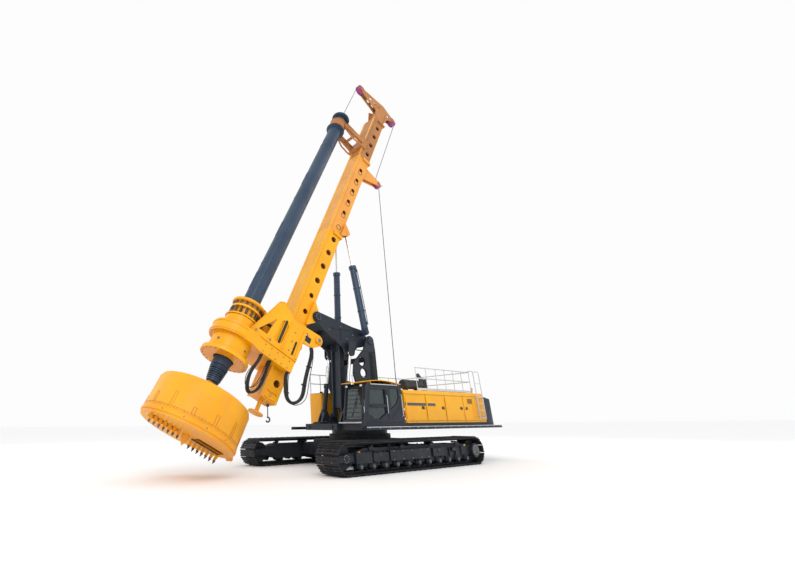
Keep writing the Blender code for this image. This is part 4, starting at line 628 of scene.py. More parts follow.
def undercarriage_details():
    dark = Kit("undercarriage_fittings", "undercarriage", FRAME_DARK)
    caps = Kit("roller_caps", "undercarriage", GREASED)
    bolts = Kit("undercarriage_bolts", "undercarriage", BOLT)
    amber = Kit("grease_covers", "undercarriage", YELLOW)
    for side in BOTH:
        out = side * 2.80
        way = (side, 0, 0)
        for i in range(11):
            y = -3.0 + 0.6 * i
            dark.rod((side * 2.60, y, 0.262), (side * 2.90, y, 0.262), 0.105, 20)
            caps.rod((side * 2.88, y, 0.262), (side * 2.925, y, 0.262), 0.062, 16)
            bolts.circle_of_bolts((side * 2.923, y, 0.262), way, 0.04, 4, 0.008, 0.008)
            dark.box(sorted((out, side * 2.88)), (y - 0.16, y - 0.115), (0.22, 0.40))
        for y in (-2.4, -0.8, 0.9, 2.5):
            dark.rod((side * 2.60, y, 0.872), (side * 2.84, y, 0.872), 0.036, 14)
            dark.box(sorted((out, side * 2.85)), (y - 0.12, y + 0.12), (0.74, 0.86))
        caps.rod((side * 2.92, 3.61, 0.525), (side * 2.955, 3.61, 0.525), 0.22, 28)
        bolts.circle_of_bolts((side * 2.953, 3.61, 0.525), way, 0.17, 12, 0.014, 0.012)
        dark.rod((side * 2.80, -3.61, 0.525), (side * 2.87, -3.61, 0.525), 0.15, 24)
        bolts.circle_of_bolts((side * 2.868, -3.61, 0.525), way, 0.11, 8, 0.013, 0.011)
        for y in (-2.95, -2.60, -2.25, -1.80, 1.0, 1.4, 1.95, 2.35, 2.75):
            dark.box(sorted((out, side * 2.86)), (y - 0.02, y + 0.02), (0.36, 0.72), 0.006)
        for y in (-2.02, 1.22, 2.18):
            dark.box(sorted((out, side * 2.915)), (y - 0.11, y + 0.11), (0.56, 0.69), 0.02)
            bolts.circle_of_bolts((side * 2.914, y, 0.625), way, 0.04, 4, 0.010, 0.010)
        for y, z in ((-3.02, 0.70), (-2.1, 0.42), (2.95, 0.74)):
            amber.box(sorted((out, side * 2.89)), (y - 0.035, y + 0.035), (z - 0.03, z + 0.03), 0.01)
        for y in (-1.4, -0.9, -0.4, 0.1, 0.5):
            for z in (0.42, 0.68):
                bolts.bolt((side * 2.94, y, z), way, 0.014, 0.012)
        long, short = [-1.5 + 0.2 * k for k in range(24)], [0.6 + 0.2 * k for k in range(13)]
        dark.tube([(side * 2.86, y, 0.76 + 0.02 * math.sin(3 * y)) for y in long], 0.018)
        dark.tube([(side * 2.86, y, 0.72 + 0.02 * math.cos(2 * y)) for y in short], 0.015)
    for angle in range(36):
        a = math.tau * angle / 36
        bolts.bolt((1.20 * math.cos(a), 1.20 * math.sin(a), 1.00), (math.cos(a), math.sin(a), 0), 0.016, 0.08)
    for side in BOTH:
        for y in (-1.42, -0.78, 0.78, 1.42):
            bolts.bolt((side * 1.98, y, 0.80), (0, 0, 1), 0.03, 0.03)
            bolts.bolt((side * 1.78, y, 0.80), (0, 0, 1), 0.03, 0.03)
    for kit in (dark, caps, bolts, amber):
        kit.done()


for wanted, label in ((1, "left"), (-1, "right")):
    track(wanted, label)
undercarriage_details()

# --- engine house and deck


LOUVRES = {1: 0, -1: 16}


def house_details():
    seam = Kit("house_seams", "upper", RUBBER)
    stripe = Kit("house_stripe", "upper", STRIPE)
    bolts = Kit("house_bolts", "upper", BOLT)
    dark = Kit("house_grilles", "upper", PLASTIC)
    slate = Kit("deck_fittings", "upper", SLATE)
    rail = Kit("roof_walkway", "upper", RAIL)
    yellow = Kit("house_trim", "upper", YELLOW)
    for side in BOTH:
        face = side * 2.09
        skin = sorted((face, face + side * 0.004))
        for y in ((1.92, 3.25, 4.61) if side > 0 else (2.60, 4.61)):
            seam.box(skin, (y - 0.006, y + 0.006), (1.62, 2.76), 0.001)
        seam.box(skin, (0.57, 6.27), (1.655, 1.665), 0.001)
        seam.box(skin, (0.57, 6.27), (2.715, 2.722), 0.001)
        stripe.box(skin, (0.565, 0.62), (2.26, 2.37), 0.001)
        stripe.box(sorted((face, face + side * 0.003)), (1.903, 1.937), (2.26, 2.37), 0.0005)
        for k in range(LOUVRES[side]):
            z = 1.78 + 0.055 * k
            turn = Matrix.Rotation(side * 0.5, 4, "Y")
            dark.box(
                sorted((face - side * 0.004, face + side * 0.018)), (5.50, 6.18), (z, z + 0.03), 0.003, turn
            )
        if side < 0:
            dark.box(skin, (5.47, 6.21), (1.74, 2.68), 0.002)
        for y in (0.60, 1.20, 1.92, 2.58, 3.25, 3.92, 4.61, 5.43, 6.25):
            bolts.bolt((face, y, 2.745), (side, 0, 0), 0.010, 0.008)
            bolts.bolt((face, y, 1.635), (side, 0, 0), 0.010, 0.008)
        for k in range(17):
            y = -1.75 + 0.55 * k
            slate.box(span(side, 2.10, 2.25), (y - 0.012, y + 0.012), (1.40, 1.425), 0.003)
            rail.bolt((side * 2.262, y, 1.43), (side, 0, 0), 0.012, 0.008)
        slate.box(span(side, 2.262, 2.285), (-1.90, 7.20), (1.37, 1.40), 0.004)
        rail.box(span(side, 2.255, 2.272), (-1.90, 7.20), (1.452, 1.478), 0.003)
        # the air cleaner, caps and lids on the two arms of the roof
        for y, r in ((2.75, 0.10), (5.85, 0.08)):
            dark.rod((side * 1.45, y, 2.86), (side * 1.45, y, 2.98), r, 20)
            dark.rod((side * 1.45, y, 2.97), (side * 1.45, y, 3.02), r * 1.25, 20)
        yellow.box(span(side, 0.9, 1.7), (3.55, 5.05), (2.995, 3.02), 0.01)
        for k in range(12):
            y = 3.62 + 0.12 * k
            dark.box(span(side, 0.95, 1.65), (y, y + 0.05), (3.015, 3.035), 0.006)
        for y in (2.9, 5.65):
            for x in (0.7, 1.6):
                yellow.ring((side * x, y, 2.91), (0, 1, 0), 0.045, 0.014, 20, 8)
        # kick boards, foot plates and posts of the roof's walkway
        rail.box(span(side, 1.885, 1.900), (1.75, 5.75), (2.90, 3.00), 0.003)
        for y in (1.75, 2.45, 3.15, 3.80, 4.45, 5.10, 5.75):
            rail.box(span(side, 1.86, 1.94), (y - 0.04, y + 0.04), (2.872, 2.885), 0.002)
            rail.rod((side * 1.90, y, 2.88), (side * 1.90, y, 2.96), 0.032, 12)
    for y in (5.0, 5.5):
        dark.box((-0.6, 0.6), (y, y + 0.10), (3.0, 3.05), 0.01)
    # fan grille in the raised hood
    for k in range(6):
        dark.ring((-0.1, 4.3, 3.004), (0, 0, 1), 0.10 + 0.075 * k, 0.008, 36, 6)
    for k in range(8):
        a = math.tau * k / 8
        dark.rod((-0.1, 4.3, 3.006), (-0.1 + 0.5 * math.cos(a), 4.3 + 0.5 * math.sin(a), 3.006), 0.008, 6)
    # counterweight: lifting lugs, tie bolts and the parting line
    for x in (-1.2, 1.2):
        slate.ring((x, 6.62, 2.73), (0, 1, 0), 0.07, 0.022, 24, 8)
    for x in (-1.5, -0.5, 0.5, 1.5):
        bolts.bolt((x, 7.235, 1.47), (0, 1, 0), 0.035, 0.03)
    for z in (1.72, 2.05, 2.38):
        back = 0.28 * (2.05 - z)
        seam.box((-1.3, 1.3), (7.07 + back, 7.075 + back + 0.03), (z, z + 0.012), 0.002)
    # beacon and lamps at the rear of the roof
    slate.rod((1.75, 6.05, 2.86), (1.75, 6.05, 3.05), 0.02, 10)
    for kit in (seam, stripe, bolts, dark, slate, rail, yellow):
        kit.done()
    red = Kit("side_lamps_red", "upper", LAMP_RED)
    red.box((2.062, 2.085), (0.485, 0.535), (1.96, 2.06), 0.008)
    red.box((2.062, 2.085), (0.485, 0.535), (1.80, 1.88), 0.008)
    red.done()
    white = Kit("side_lamps_white", "upper", LAMP_WHITE)
    white.box((2.062, 2.085), (0.485, 0.535), (2.07, 2.15), 0.008)
    white.box((2.062, 2.085), (0.485, 0.535), (1.72, 1.79), 0.008)
    white.done()
    amber = Kit("beacon", "upper", LAMP_AMBER)
    dome = [(0.055, 3.05), (0.055, 3.12), (0.04, 3.16), (0.0, 3.17)]
    amber.lathe(dome, Matrix.Translation((1.75, 6.05, 0)), 20)
    amber.done()


def door_details():
    lids = {
        "house_door_left_1": (1, 0.62, 1.90, 1.71),
        "house_door_left_2": (1, 1.94, 3.23, 3.08),
        "house_door_left_3": (1, 3.27, 4.59, 4.42),
        "house_door_left_4": (1, 4.63, 5.40, 4.80),
        "house_door_right_1": (-1, 0.62, 2.55, 2.40),
        "house_door_right_2": (-1, 2.65, 4.59, 4.44),
    }
    for name, (side, low, high, latch) in lids.items():
        face = side * 2.09
        trim = Kit(f"{name}_latch", name, PLASTIC)
        trim.box(sorted((face, face + side * 0.012)), (latch - 0.09, latch + 0.09), (2.13, 2.25), 0.004)
        trim.box(
            sorted((face + side * 0.010, face + side * 0.026)), (latch - 0.06, latch + 0.05), (2.16, 2.22), 0.005
        )
        trim.rod(
            (face + side * 0.01, latch + 0.068, 2.19), (face + side * 0.022, latch + 0.068, 2.19), 0.014, 12
        )
        trim.done()
        pressed = Kit(f"{name}_pressing", name, YELLOW)
        skin = sorted((face, face + side * 0.004))
        for z in (1.72, 2.66):
            pressed.box(skin, (low + 0.04, high - 0.04), (z - 0.008, z + 0.008), 0.002)
        for y in (low + 0.05, high - 0.05):
            pressed.box(skin, (y - 0.008, y + 0.008), (1.73, 2.65), 0.002)
        pressed.done()
        if low < 2.5:
            band = Kit(f"{name}_stripe", name, STRIPE)
            end = min(high, 2.56) - 0.008
            band.box(sorted((face, face + side * 0.006)), (low + 0.008, end), (2.26, 2.37), 0.001)
            band.done()
    mark = Kit("house_door_left_vent", "house_door_left_4", PLASTIC)
    for k in range(7):
        z = 2.40 + 0.03 * k
        mark.box((2.088, 2.104), (4.95, 5.32), (z, z + 0.014), 0.003)
    mark.done()


house_details()
door_details()

# --- cab


def outline_band(kit, x, outline, width=0.022, thick=0.012):
    """A gasket that follows an outline in the plane across X."""
    points = [Vector((x, y, z)) for y, z in outline]
    for a, b in zip(points, [*points[1:], points[0]]):
        way = (b - a).normalized() * width * 0.5
        kit.tube([a - way, b + way], width * 0.5, 8)


def cab_screen_y(z):
    return -1.84 + 0.28 * (z - 1.60) / 1.46


def cab_details():
    gasket = Kit("cab_gaskets", "upper", RUBBER)
    steel = Kit("cab_fittings", "upper", SLATE)
    rail = Kit("cab_rails", "upper", RAIL)
    quarter = [(-0.26, 2.08), (0.10, 2.32), (0.27, 2.56), (0.25, 2.90), (-0.26, 2.90)]
    outline_band(gasket, 2.06, quarter)
    outline_band(gasket, 0.962, [(-1.45, 2.00), (0.20, 2.00), (0.20, 2.88), (-1.30, 2.88)])
    screen = [(1.05, 1.74), (1.97, 1.74), (1.97, 2.88), (1.05, 2.88)]
    corners = [Vector((x, cab_screen_y(z) - 0.002, z)) for x, z in screen]
    for a, b in zip(corners, [*corners[1:], corners[0]]):
        gasket.tube([a, b], 0.013, 8)
    # guard bars ahead of the windscreen
    for k in range(7):
        z = 1.84 + 0.16 * k
        gasket.rod((1.06, cab_screen_y(z) - 0.035, z), (1.96, cab_screen_y(z) - 0.035, z), 0.006, 6)
    for x in (1.06, 1.96):
        gasket.rod((x, cab_screen_y(1.74) - 0.035, 1.74), (x, cab_screen_y(2.88) - 0.035, 2.88), 0.012, 8)
        for z in (1.76, 2.86):
            steel.rod((x, cab_screen_y(z) - 0.04, z), (x, cab_screen_y(z) + 0.01, z), 0.012, 8)
    # wiper
    z0, z1 = 1.82, 2.50
    gasket.rod((1.42, cab_screen_y(z0) - 0.008, z0), (1.62, cab_screen_y(z1) - 0.008, z1), 0.009, 8)
    gasket.rod((1.58, cab_screen_y(2.15) - 0.010, 2.15), (1.66, cab_screen_y(2.76) - 0.010, 2.76), 0.007, 8)
    # roof: lamps under the guard and grab rail
    for x in (1.12, 1.90):
        steel.box((x - 0.07, x + 0.07), (-1.66, -1.56), (2.92, 3.02), 0.015)
    for y in (-1.30, 0.15):
        rail.rod((2.06, y, 3.02), (2.115, y, 3.02), 0.012, 8)
    rail.rod((2.11, -1.33, 3.02), (2.11, 0.18, 3.02), 0.016, 12)
    rail.tube([(2.06, 0.36, 1.85), (2.12, 0.37, 1.87), (2.12, 0.37, 2.65), (2.06, 0.36, 2.67)], 0.014, 10)
    # mirror on its arm at the front left
    rail.tube([(2.02, -1.74, 1.95), (2.16, -1.86, 2.02), (2.16, -1.86, 2.42)], 0.012, 10)
    steel.box((2.11, 2.21), (-1.90, -1.865), (2.20, 2.44), 0.012)
    # step and lower moulding
    steel.box((2.055, 2.075), (-1.70, 0.42), (1.62, 1.66), 0.006)
    for y in (-1.5, -1.1, -0.7, -0.3, 0.1):
        steel.bolt((2.06, y, 1.64), (1, 0, 0), 0.012, 0.022)
    # pressed ribs low on the rear pillar
    for start in (0.0, 0.09):
        line = [(-0.30 + start, 1.76), (0.06 + start, 2.10), (0.32, 2.32 - start)]
        steel.tube([(2.061, *p) for p in line], 0.010, 6)
    rail.box((1.0, 2.06), (-2.10, -1.95), (1.62, 1.65), 0.004)
    for k in range(10):
        rail.box((1.05 + 0.1 * k, 1.07 + 0.1 * k), (-2.12, -1.86), (1.60, 1.63), 0.003)
    for kit in (gasket, steel, rail):
        kit.done()
    glassy = Kit("cab_mirror_glass", "upper", MIRROR)
    glassy.box((2.12, 2.20), (-1.866, -1.860), (2.22, 2.42), 0.002)
    glassy.done()
    lights = Kit("cab_work_lamps", "upper", LAMP_WHITE)
    for x in (1.12, 1.90):
        lights.box((x - 0.055, x + 0.055), (-1.672, -1.655), (2.935, 3.005), 0.006)
    lights.done()
    door = Kit("cab_door_gaskets", "cab_door", RUBBER)
    outline_band(door, 2.06, [(-1.47, 2.28), (-0.52, 2.28), (-0.52, 2.85), (-1.37, 2.85)])
    lower = [(-1.57, 1.92), (-1.42, 1.88), (-1.28, 1.75), (-0.90, 1.75), (-0.52, 1.96), (-0.52, 2.18)]
    lower += [(-1.52, 2.18)]
    outline_band(door, 2.06, lower)
    door.rod((2.07, -1.40, 2.23), (2.095, -1.40, 2.23), 0.02, 12)
    door.done()
    handle = Kit("cab_door_handle", "cab_door", RAIL)
    handle.tube(
        [(2.055, -0.47, 1.95), (2.10, -0.47, 1.97), (2.10, -0.47, 2.60), (2.055, -0.47, 2.62)], 0.012, 10
    )
    handle.done()


def cushion(name, x, y, z, swell, turn=0.0, channels=3):
    """A crowned foam pad with sewn channels, whose sides pull in between its corners."""
    mesh = bmesh.new()
    steps = 28
    size = [b - a for a, b in (x, y, z)]
    middle = Vector([(a + b) / 2 for a, b in (x, y, z)])
    grids = {}

    def vertex(i, j, k):
        u, v, w = (2 * i / steps - 1, 2 * j / steps - 1, 2 * k / 4 - 1)
        round_corner = 1 - 0.10 * (u * u * v * v)
        waist = 0.035 * math.cos(u * math.pi / 2) * abs(v) ** 6
        pull = 1 - waist - 0.035 * math.cos(v * math.pi / 2) * abs(u) ** 6
        crown = (1 - u**4) * (1 - v**4)
        seam = min(abs(u - (2 * c / channels - 1)) for c in range(1, channels))
        groove = 0.22 * math.exp(-((seam / 0.05) ** 2)) * (1 - v**6)
        height = w * (0.62 + 0.38 * crown - (groove if w > 0 else 0) + swell * crown * (w > 0))
        across, ahead = u * round_corner * pull * size[0] / 2, v * round_corner * pull * size[1] / 2
        return Vector((across, ahead, height * size[2] / 2))

    for i in range(steps + 1):
        for j in range(steps + 1):
            for k in range(5):
                if i in (0, steps) or j in (0, steps) or k in (0, 4):
                    grids[i, j, k] = mesh.verts.new(middle + Matrix.Rotation(turn, 3, "X") @ vertex(i, j, k))
    for i in range(steps):
        for j in range(steps):
            mesh.faces.new([grids[a, b, 0] for a, b in ((i, j), (i, j + 1), (i + 1, j + 1), (i + 1, j))])
            mesh.faces.new([grids[a, b, 4] for a, b in ((i, j), (i + 1, j), (i + 1, j + 1), (i, j + 1))])
    for i in range(steps):
        for k in range(4):
            mesh.faces.new([grids[a, 0, c] for a, c in ((i, k), (i + 1, k), (i + 1, k + 1), (i, k + 1))])
            mesh.faces.new([grids[a, steps, c] for a, c in ((i, k), (i, k + 1), (i + 1, k + 1), (i + 1, k))])
            mesh.faces.new([grids[0, a, c] for a, c in ((i, k), (i, k + 1), (i + 1, k + 1), (i + 1, k))])
            mesh.faces.new([grids[steps, a, c] for a, c in ((i, k), (i + 1, k), (i + 1, k + 1), (i, k + 1))])
    bmesh.ops.recalc_face_normals(mesh, faces=mesh.faces)
    data = bpy.data.meshes.new(name)
    mesh.to_mesh(data)
    mesh.free()
    data.transform(MACHINE)
    data.materials.append(CLOTH)
    data.shade_smooth()
    made = bpy.data.objects.new(name, data)
    bpy.context.scene.collection.objects.link(made)
    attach(made, "upper")
    return made


def cab_inside():
    cushion("seat_cushion", (1.28, 1.74), (-0.77, -0.26), (1.99, 2.12), 0.10)
    cushion("seat_back", (1.30, 1.72), (-0.50, 0.14), (2.34, 2.44), 0.10, math.radians(80))
    cushion("seat_headrest", (1.40, 1.62), (-0.19, 0.01), (2.74, 2.81), 0.10, math.radians(80), 2)
    base = Kit("seat_base", "upper", PLASTIC)
    base.box((1.34, 1.68), (-0.68, -0.28), (1.655, 1.70), 0.01)
    for k in range(5):
        z = 1.72 + 0.045 * k
        base.box((1.38 + 0.008 * (k % 2), 1.64 - 0.008 * (k % 2)), (-0.64, -0.32), (z, z + 0.04), 0.012)
    base.box((1.32, 1.70), (-0.72, -0.26), (1.95, 2.0), 0.012)
    for x in (1.24, 1.78):
        base.box((x - 0.03, x + 0.03), (-0.62, -0.28), (2.20, 2.25), 0.018)
    base.done(replaced=("operator_seat",))
    stick = Kit("control_levers", "upper", RUBBER)
    for x in (1.17, 1.85):
        stick.lathe(
            [(0.0, 2.40), (0.032, 2.41), (0.036, 2.45), (0.026, 2.50), (0.0, 2.515)],
            Matrix.Translation((x, -0.925, -0.05)),
            16,
        )
        stick.lathe(
            [(0.06, 2.24), (0.045, 2.265), (0.05, 2.28), (0.034, 2.30), (0.026, 2.32)],
            Matrix.Translation((x, -0.89, 0)),
            16,
        )
    stick.done()
    screen = Kit("cab_screen", "upper", GLASS)
    screen.box((1.195, 1.425), (-1.34, -1.336), (2.26, 2.44), 0.001)
    screen.done()


cab_details()
cab_inside()

# --- boom, mast support and cylinders


def pin_cap(kit, bolts, spot, axis, radius):
    spot, axis = Vector(spot), Vector(axis).normalized()
    kit.rod(spot, spot + axis * 0.022, radius * 1.55, 24)
    kit.rod(spot + axis * 0.02, spot + axis * 0.034, radius * 0.8, 20)
    bolts.circle_of_bolts(spot + axis * 0.02, axis, radius * 1.15, 6, 0.011, 0.012)


def boom_details():
    for body, spots in (
        ("boom", ((0.88, 0.08, 2.05, 0.10),)),
        ("mast_support", ((0.90, 0.23, 5.00, 0.10),)),
    ):
        kit = Kit(f"{body}_pin_caps", body, SLATE)
        bolts = Kit(f"{body}_pin_bolts", body, BOLT)
        for x, y, z, radius in spots:
            for side in BOTH:
                pin_cap(kit, bolts, (side * x, y, z), (side, 0, 0), radius)
        kit.done()
        bolts.done()
    edge = Kit("boom_stiffeners", "boom", SLATE)
    for side in BOTH:
        for y, z in ((-0.40, 4.08), (-0.36, 3.60)):
            edge.ring((side * 0.882, y, z), (1, 0, 0), 0.20, 0.014, 32, 8)
        edge.tube(
            [(side * 0.885, 0.42, 2.6), (side * 0.885, 0.47, 3.1), (side * 0.885, 0.47, 4.55)], 0.016, 8
        )
        edge.box(span(side, 0.88, 0.90), (0.0, 0.34), (2.52, 2.60), 0.005)
        edge.box(span(side, 0.88, 0.90), (-0.7, 0.44), (4.52, 4.56), 0.005)
    edge.done()
    pipes = Kit("boom_pipes", "boom", RUBBER)
    for k in range(4):
        x = 0.90
        y = 0.12 + 0.05 * k
        pipes.tube([(x + 0.012, y, 2.4), (x + 0.012, y + 0.03, 3.4), (x + 0.012, y + 0.02, 4.5)], 0.014, 8)
    pipes.done()
    head = Kit("mast_support_fittings", "mast_support", SLATE)
    bolts = Kit("mast_support_bolts", "mast_support", BOLT)
    pivot = (8.00, 2.80)
    centre = (MACHINE.inverted() @ on_mast(*pivot))
    for side in BOTH:
        head.rod((side * 0.575, centre.y, centre.z), (side * 0.62, centre.y, centre.z), 0.17, 28)
        bolts.circle_of_bolts((side * 0.618, centre.y, centre.z), (side, 0, 0), 0.125, 8, 0.016, 0.016)
        for y, z in ((-1.9, 5.35), (-1.2, 5.55), (-0.5, 5.25), (-0.9, 5.05)):
            bolts.bolt((side * 0.58, y, z), (side, 0, 0), 0.02, 0.018)
        head.box(span(side, 0.575, 0.60), (-1.7, -0.7), (5.42, 5.47), 0.006)
        head.box(span(side, 0.575, 0.60), (-1.25, -1.20), (4.95, 5.45), 0.006)
    head.done()
    bolts.done()


def along(a, b):
    a, b = Vector(a), Vector(b)
    return Matrix.Translation(a) @ (b - a).to_track_quat("Z", "Y").to_matrix().to_4x4()


def cylinder_details():
    for side, word in ((1, "left"), (-1, "right")):
        foot = world((side * 0.87, 0.0, 5.38))
        eye = on_mast(13.05, 2.78, side * 0.36)
        frame_of = along(foot, eye)
        kit = Kit(f"mast_cylinder_{word}_fittings", f"mast_cylinder_{word}", BLUE, frame_of)
        kit.lathe([(0.150, 3.05), (0.178, 3.06), (0.178, 3.20), (0.165, 3.215), (0.080, 3.215)], sides=28)
        kit.lathe([(0.150, 0.95), (0.168, 0.96), (0.168, 1.02), (0.150, 1.03)], sides=28)
        kit.lathe([(0.150, 2.05), (0.168, 2.06), (0.168, 2.12), (0.150, 2.13)], sides=28)
        kit.box((-0.05, 0.05), (0.14, 0.20), (0.32, 0.44), 0.008)
        kit.box((-0.05, 0.05), (0.14, 0.20), (2.90, 3.02), 0.008)
        kit.tube([(0, 0.185, 0.42), (0, 0.20, 0.6), (0, 0.20, 2.75), (0, 0.185, 2.95)], 0.017, 10)
        kit.done()
        bolts = Kit(f"mast_cylinder_{word}_bolts", f"mast_cylinder_{word}", BOLT, frame_of)
        bolts.circle_of_bolts((0, 0, 3.215), (0, 0, 1), 0.145, 10, 0.012, 0.012)
        bolts.done()
        base, top = world((side * 0.67, -1.35, 1.95)), world((side * 0.67, -0.85, 4.45))
        lift = Kit(f"boom_cylinder_{word}_fittings", f"boom_cylinder_{word}", SLATE, along(base, top))
        lift.lathe([(0.09, 1.12), (0.118, 1.13), (0.118, 1.285), (0.062, 1.30)], sides=24)
        lift.box((-0.04, 0.04), (-0.13, -0.08), (0.24, 0.34), 0.006)
        lift.tube([(0, -0.12, 0.3), (0, -0.13, 0.5), (0, -0.13, 1.05), (0, -0.10, 1.18)], 0.012, 8)
        lift.done()


boom_details()
cylinder_details()

# --- mast and its head

MAST_JOINTS = ((12.60, "lower"), (18.40, "upper"))


def mast_details():
    yellow = Kit("mast_fittings", "mast", YELLOW, MAST)
    bolts = Kit("mast_bolts", "mast", BOLT, MAST)
    dark = Kit("mast_pipes", "mast", RUBBER, MAST)
    holes = Kit("mast_hole_rims", "mast", SLATE, MAST)
    for side in BOTH:
        skin = side * 0.38
        for s, _ in MAST_JOINTS:
            yellow.box(sorted((skin, side * 0.455)), (2.06, 2.60), (s + 0.004, s + 0.07), 0.006)
            for k in range(6):
                n = 2.12 + 0.085 * k
                bolts.bolt((side * 0.425, n, s + 0.07), (0, 0, 1), 0.014, 0.02)
                bolts.bolt((side * 0.425, n, s - 0.10), (0, 0, -1), 0.014, 0.02)
        s = 4.55
        while s < 21.8:
            clear = min(abs(s - low) for low in (12.6, 18.4)) > 0.3 and not 7.2 < s < 8.8
            if clear:
                holes.ring((skin + side * 0.002, 2.24, s), (1, 0, 0), 0.128, 0.012, 28, 8)
            s += 0.85
        # weld beads, edge strips and the rub strips of the rails
        for n in (1.835, 2.545):
            yellow.tube([(skin, n, 4.0), (skin, n, 12.4)], 0.009, 6)
            yellow.tube([(skin, n, 12.8), (skin, n, 18.2)], 0.009, 6)
            yellow.tube([(skin, n, 18.6), (skin, n, 22.1)], 0.009, 6)
        for low, high in ((3.9, 12.55), (12.65, 18.35), (18.45, 22.15)):
            yellow.box(span(side, 0.33, 0.465), (1.712, 1.722), (low, high), 0.002)
        # ribs behind the pivot lug and at the foot
        yellow.box(sorted((skin, side * 0.44)), (1.95, 2.40), (3.90, 3.95), 0.006)
        yellow.box(sorted((skin, side * 0.44)), (1.95, 2.40), (4.16, 4.20), 0.006)
        bolts.circle_of_bolts((skin, 2.15, 4.05), (side, 0, 0), 0.055, 4, 0.012, 0.03)
    # hydraulic lines up the rear of the mast, with clamps
    for k in range(4):
        x = -0.12 + 0.08 * k
        dark.tube([(x, 2.585, 4.3), (x, 2.585, 12.45)], 0.014, 8)
        dark.tube([(x, 2.60, 12.75), (x, 2.60, 17.3)], 0.014, 8)
    for k in range(9):
        bolts.box((-0.17, 0.17), (2.56, 2.608), (4.6 + 0.9 * k, 4.66 + 0.9 * k), 0.004)
    for kit in (yellow, bolts, dark, holes):
        kit.done()


def head_details():
    yellow = Kit("head_fittings", "mast", BROWN_ORANGE, MAST)
    bolts = Kit("head_bolts", "mast", BOLT, MAST)
    steel = Kit("head_guards", "mast", SLATE, MAST)
    centre = 23.75
    for n, s in ((0.33, centre), (3.20, centre + 0.05)):
        for side in BOTH:
            yellow.rod((side * 0.14, n, s), (side * 0.175, n, s), 0.11, 24)
            bolts.circle_of_bolts((side * 0.174, n, s), (side, 0, 0), 0.075, 5, 0.011, 0.012)
    for side in BOTH:
        yellow.rod((side * 0.14, 3.78, 18.10), (side * 0.175, 3.78, 18.10), 0.10, 24)
        bolts.circle_of_bolts((side * 0.174, 3.78, 18.10), (side, 0, 0), 0.07, 5, 0.011, 0.012)
    # rope keepers over each sheave and cross tubes between the cheeks
    for n, s in ((0.33, centre), (3.20, centre + 0.05), (3.78, 18.10)):
        for turn in (0.6, 2.2):
            y, z = n + 0.37 * math.cos(turn), s + 0.31 * math.sin(turn)
            steel.rod((-0.12, y, z), (0.12, y, z), 0.014, 10)
    for n in (0.85, 1.35, 1.85, 2.5, 2.9):
        yellow.rod((-0.10, n, centre - 0.02), (0.10, n, centre - 0.02), 0.045, 16)
    # work platform and its rail behind the neck
    for side in BOTH:
        yellow.box(span(side, 0.28, 0.36), (1.95, 2.42), (22.22, 22.27), 0.006)
        for n in (2.0, 2.36):
            bolts.bolt((side * 0.32, n, 22.27), (0, 0, 1), 0.016, 0.02)
        yellow.plate("x", span(side, 0.28, 0.30), [(2.50, 22.3), (2.72, 23.2), (2.50, 23.4)])
        yellow.plate("x", span(side, 0.28, 0.30), [(1.88, 22.3), (1.62, 23.2), (1.88, 23.4)])
    for kit in (yellow, bolts, steel):
        kit.done()


def rope(name, points, radius, body=None, blend=None, place=MAST):
    kit = Kit(name, body, ROPE, place)
    kit.tube(points, radius, 10)
    return kit.done(blend=blend)


def arc_points(centre, radius, start, end, count=14):
    angles = [math.radians(start + (end - start) * i / count) for i in range(count + 1)]
    return [(0.0, centre[1] + radius * math.cos(a), centre[0] + radius * math.sin(a)) for a in angles]


def straight(a, b, count):
    a, b = Vector(a), Vector(b)
    return [a.lerp(b, i / count) for i in range(count + 1)]


ROPE_R = 0.018


def ropes():
    groove = 0.28 + ROPE_R
    front, rear, aux = (23.75, 0.33), (23.80, 3.20), (18.10, 3.78)
    left_front = front[1] - groove
    top_front = front[0] + groove
    drop = straight((0, left_front, front[0]), (0, 0.0, 20.66), 24)
    rope(
        "kelly_rope",
        drop,
        ROPE_R,
        blend=("mast", "kelly_guide", on_mast(front[0], left_front), on_mast(20.66, 0.0)),
    )
    over = arc_points(front, groove, 180, 90)
    over += straight((0, front[1], top_front), (0, rear[1], rear[0] + groove), 20)[1:]
    over += arc_points(rear, groove, 90, 0)[1:]
    over += straight((0, rear[1] + groove, rear[0]), (0, aux[1] - 0.19 - ROPE_R, aux[0]), 24)[1:]
    over += arc_points(aux, 0.19 + ROPE_R, 180, 340, 20)[1:]
    rope("head_rope", over, ROPE_R, "mast")
    start = MACHINE.inverted() @ on_mast(aux[0] - 0.07, aux[1] + 0.195)
    end = Vector((0.48, 2.10, 2.32))
    line = straight(start, end, 60)
    foot = world((0.0, 2.12, 5.5))
    rope(
        "winch_rope",
        line,
        ROPE_R,
        blend=("mast", "mast_support", world(start), foot),
        place=MACHINE,
    )
    swivel = Kit("kelly_swivel", "kelly_guide", GREASED, MAST)
    eye = [(0.0, 20.36), (0.07, 20.38), (0.085, 20.46), (0.06, 20.56), (0.045, 20.70), (0.0, 20.74)]
    swivel.lathe(eye, sides=20)
    swivel.done()


DRUMS = (("main_winch", (1.08, 2.16), 0.27, 0.020), ("auxiliary_winch", (1.85, 2.20), 0.20, 0.018))


def winch_wraps():
    for name, centre, core, rise in DRUMS:
        kit = Kit(f"{name}_rope_wraps", name, ROPE)
        pitch = 2 * rise
        count = int(1.40 / pitch)
        for layer in range(2):
            for k in range(count - 6 * layer):
                x = -0.70 + pitch * (k + 0.5 + 0.5 * layer)
                kit.ring((x, *centre), (1, 0, 0), core + rise * (1 + 1.7 * layer), rise * 0.98, 28, 6)
        kit.done()
        bolts = Kit(f"{name}_bolts", name, BOLT)
        for side in BOTH:
            bolts.circle_of_bolts((side * 0.73, *centre), (-side, 0, 0), core + 0.07, 10, 0.012, 0.012)
        bolts.done()


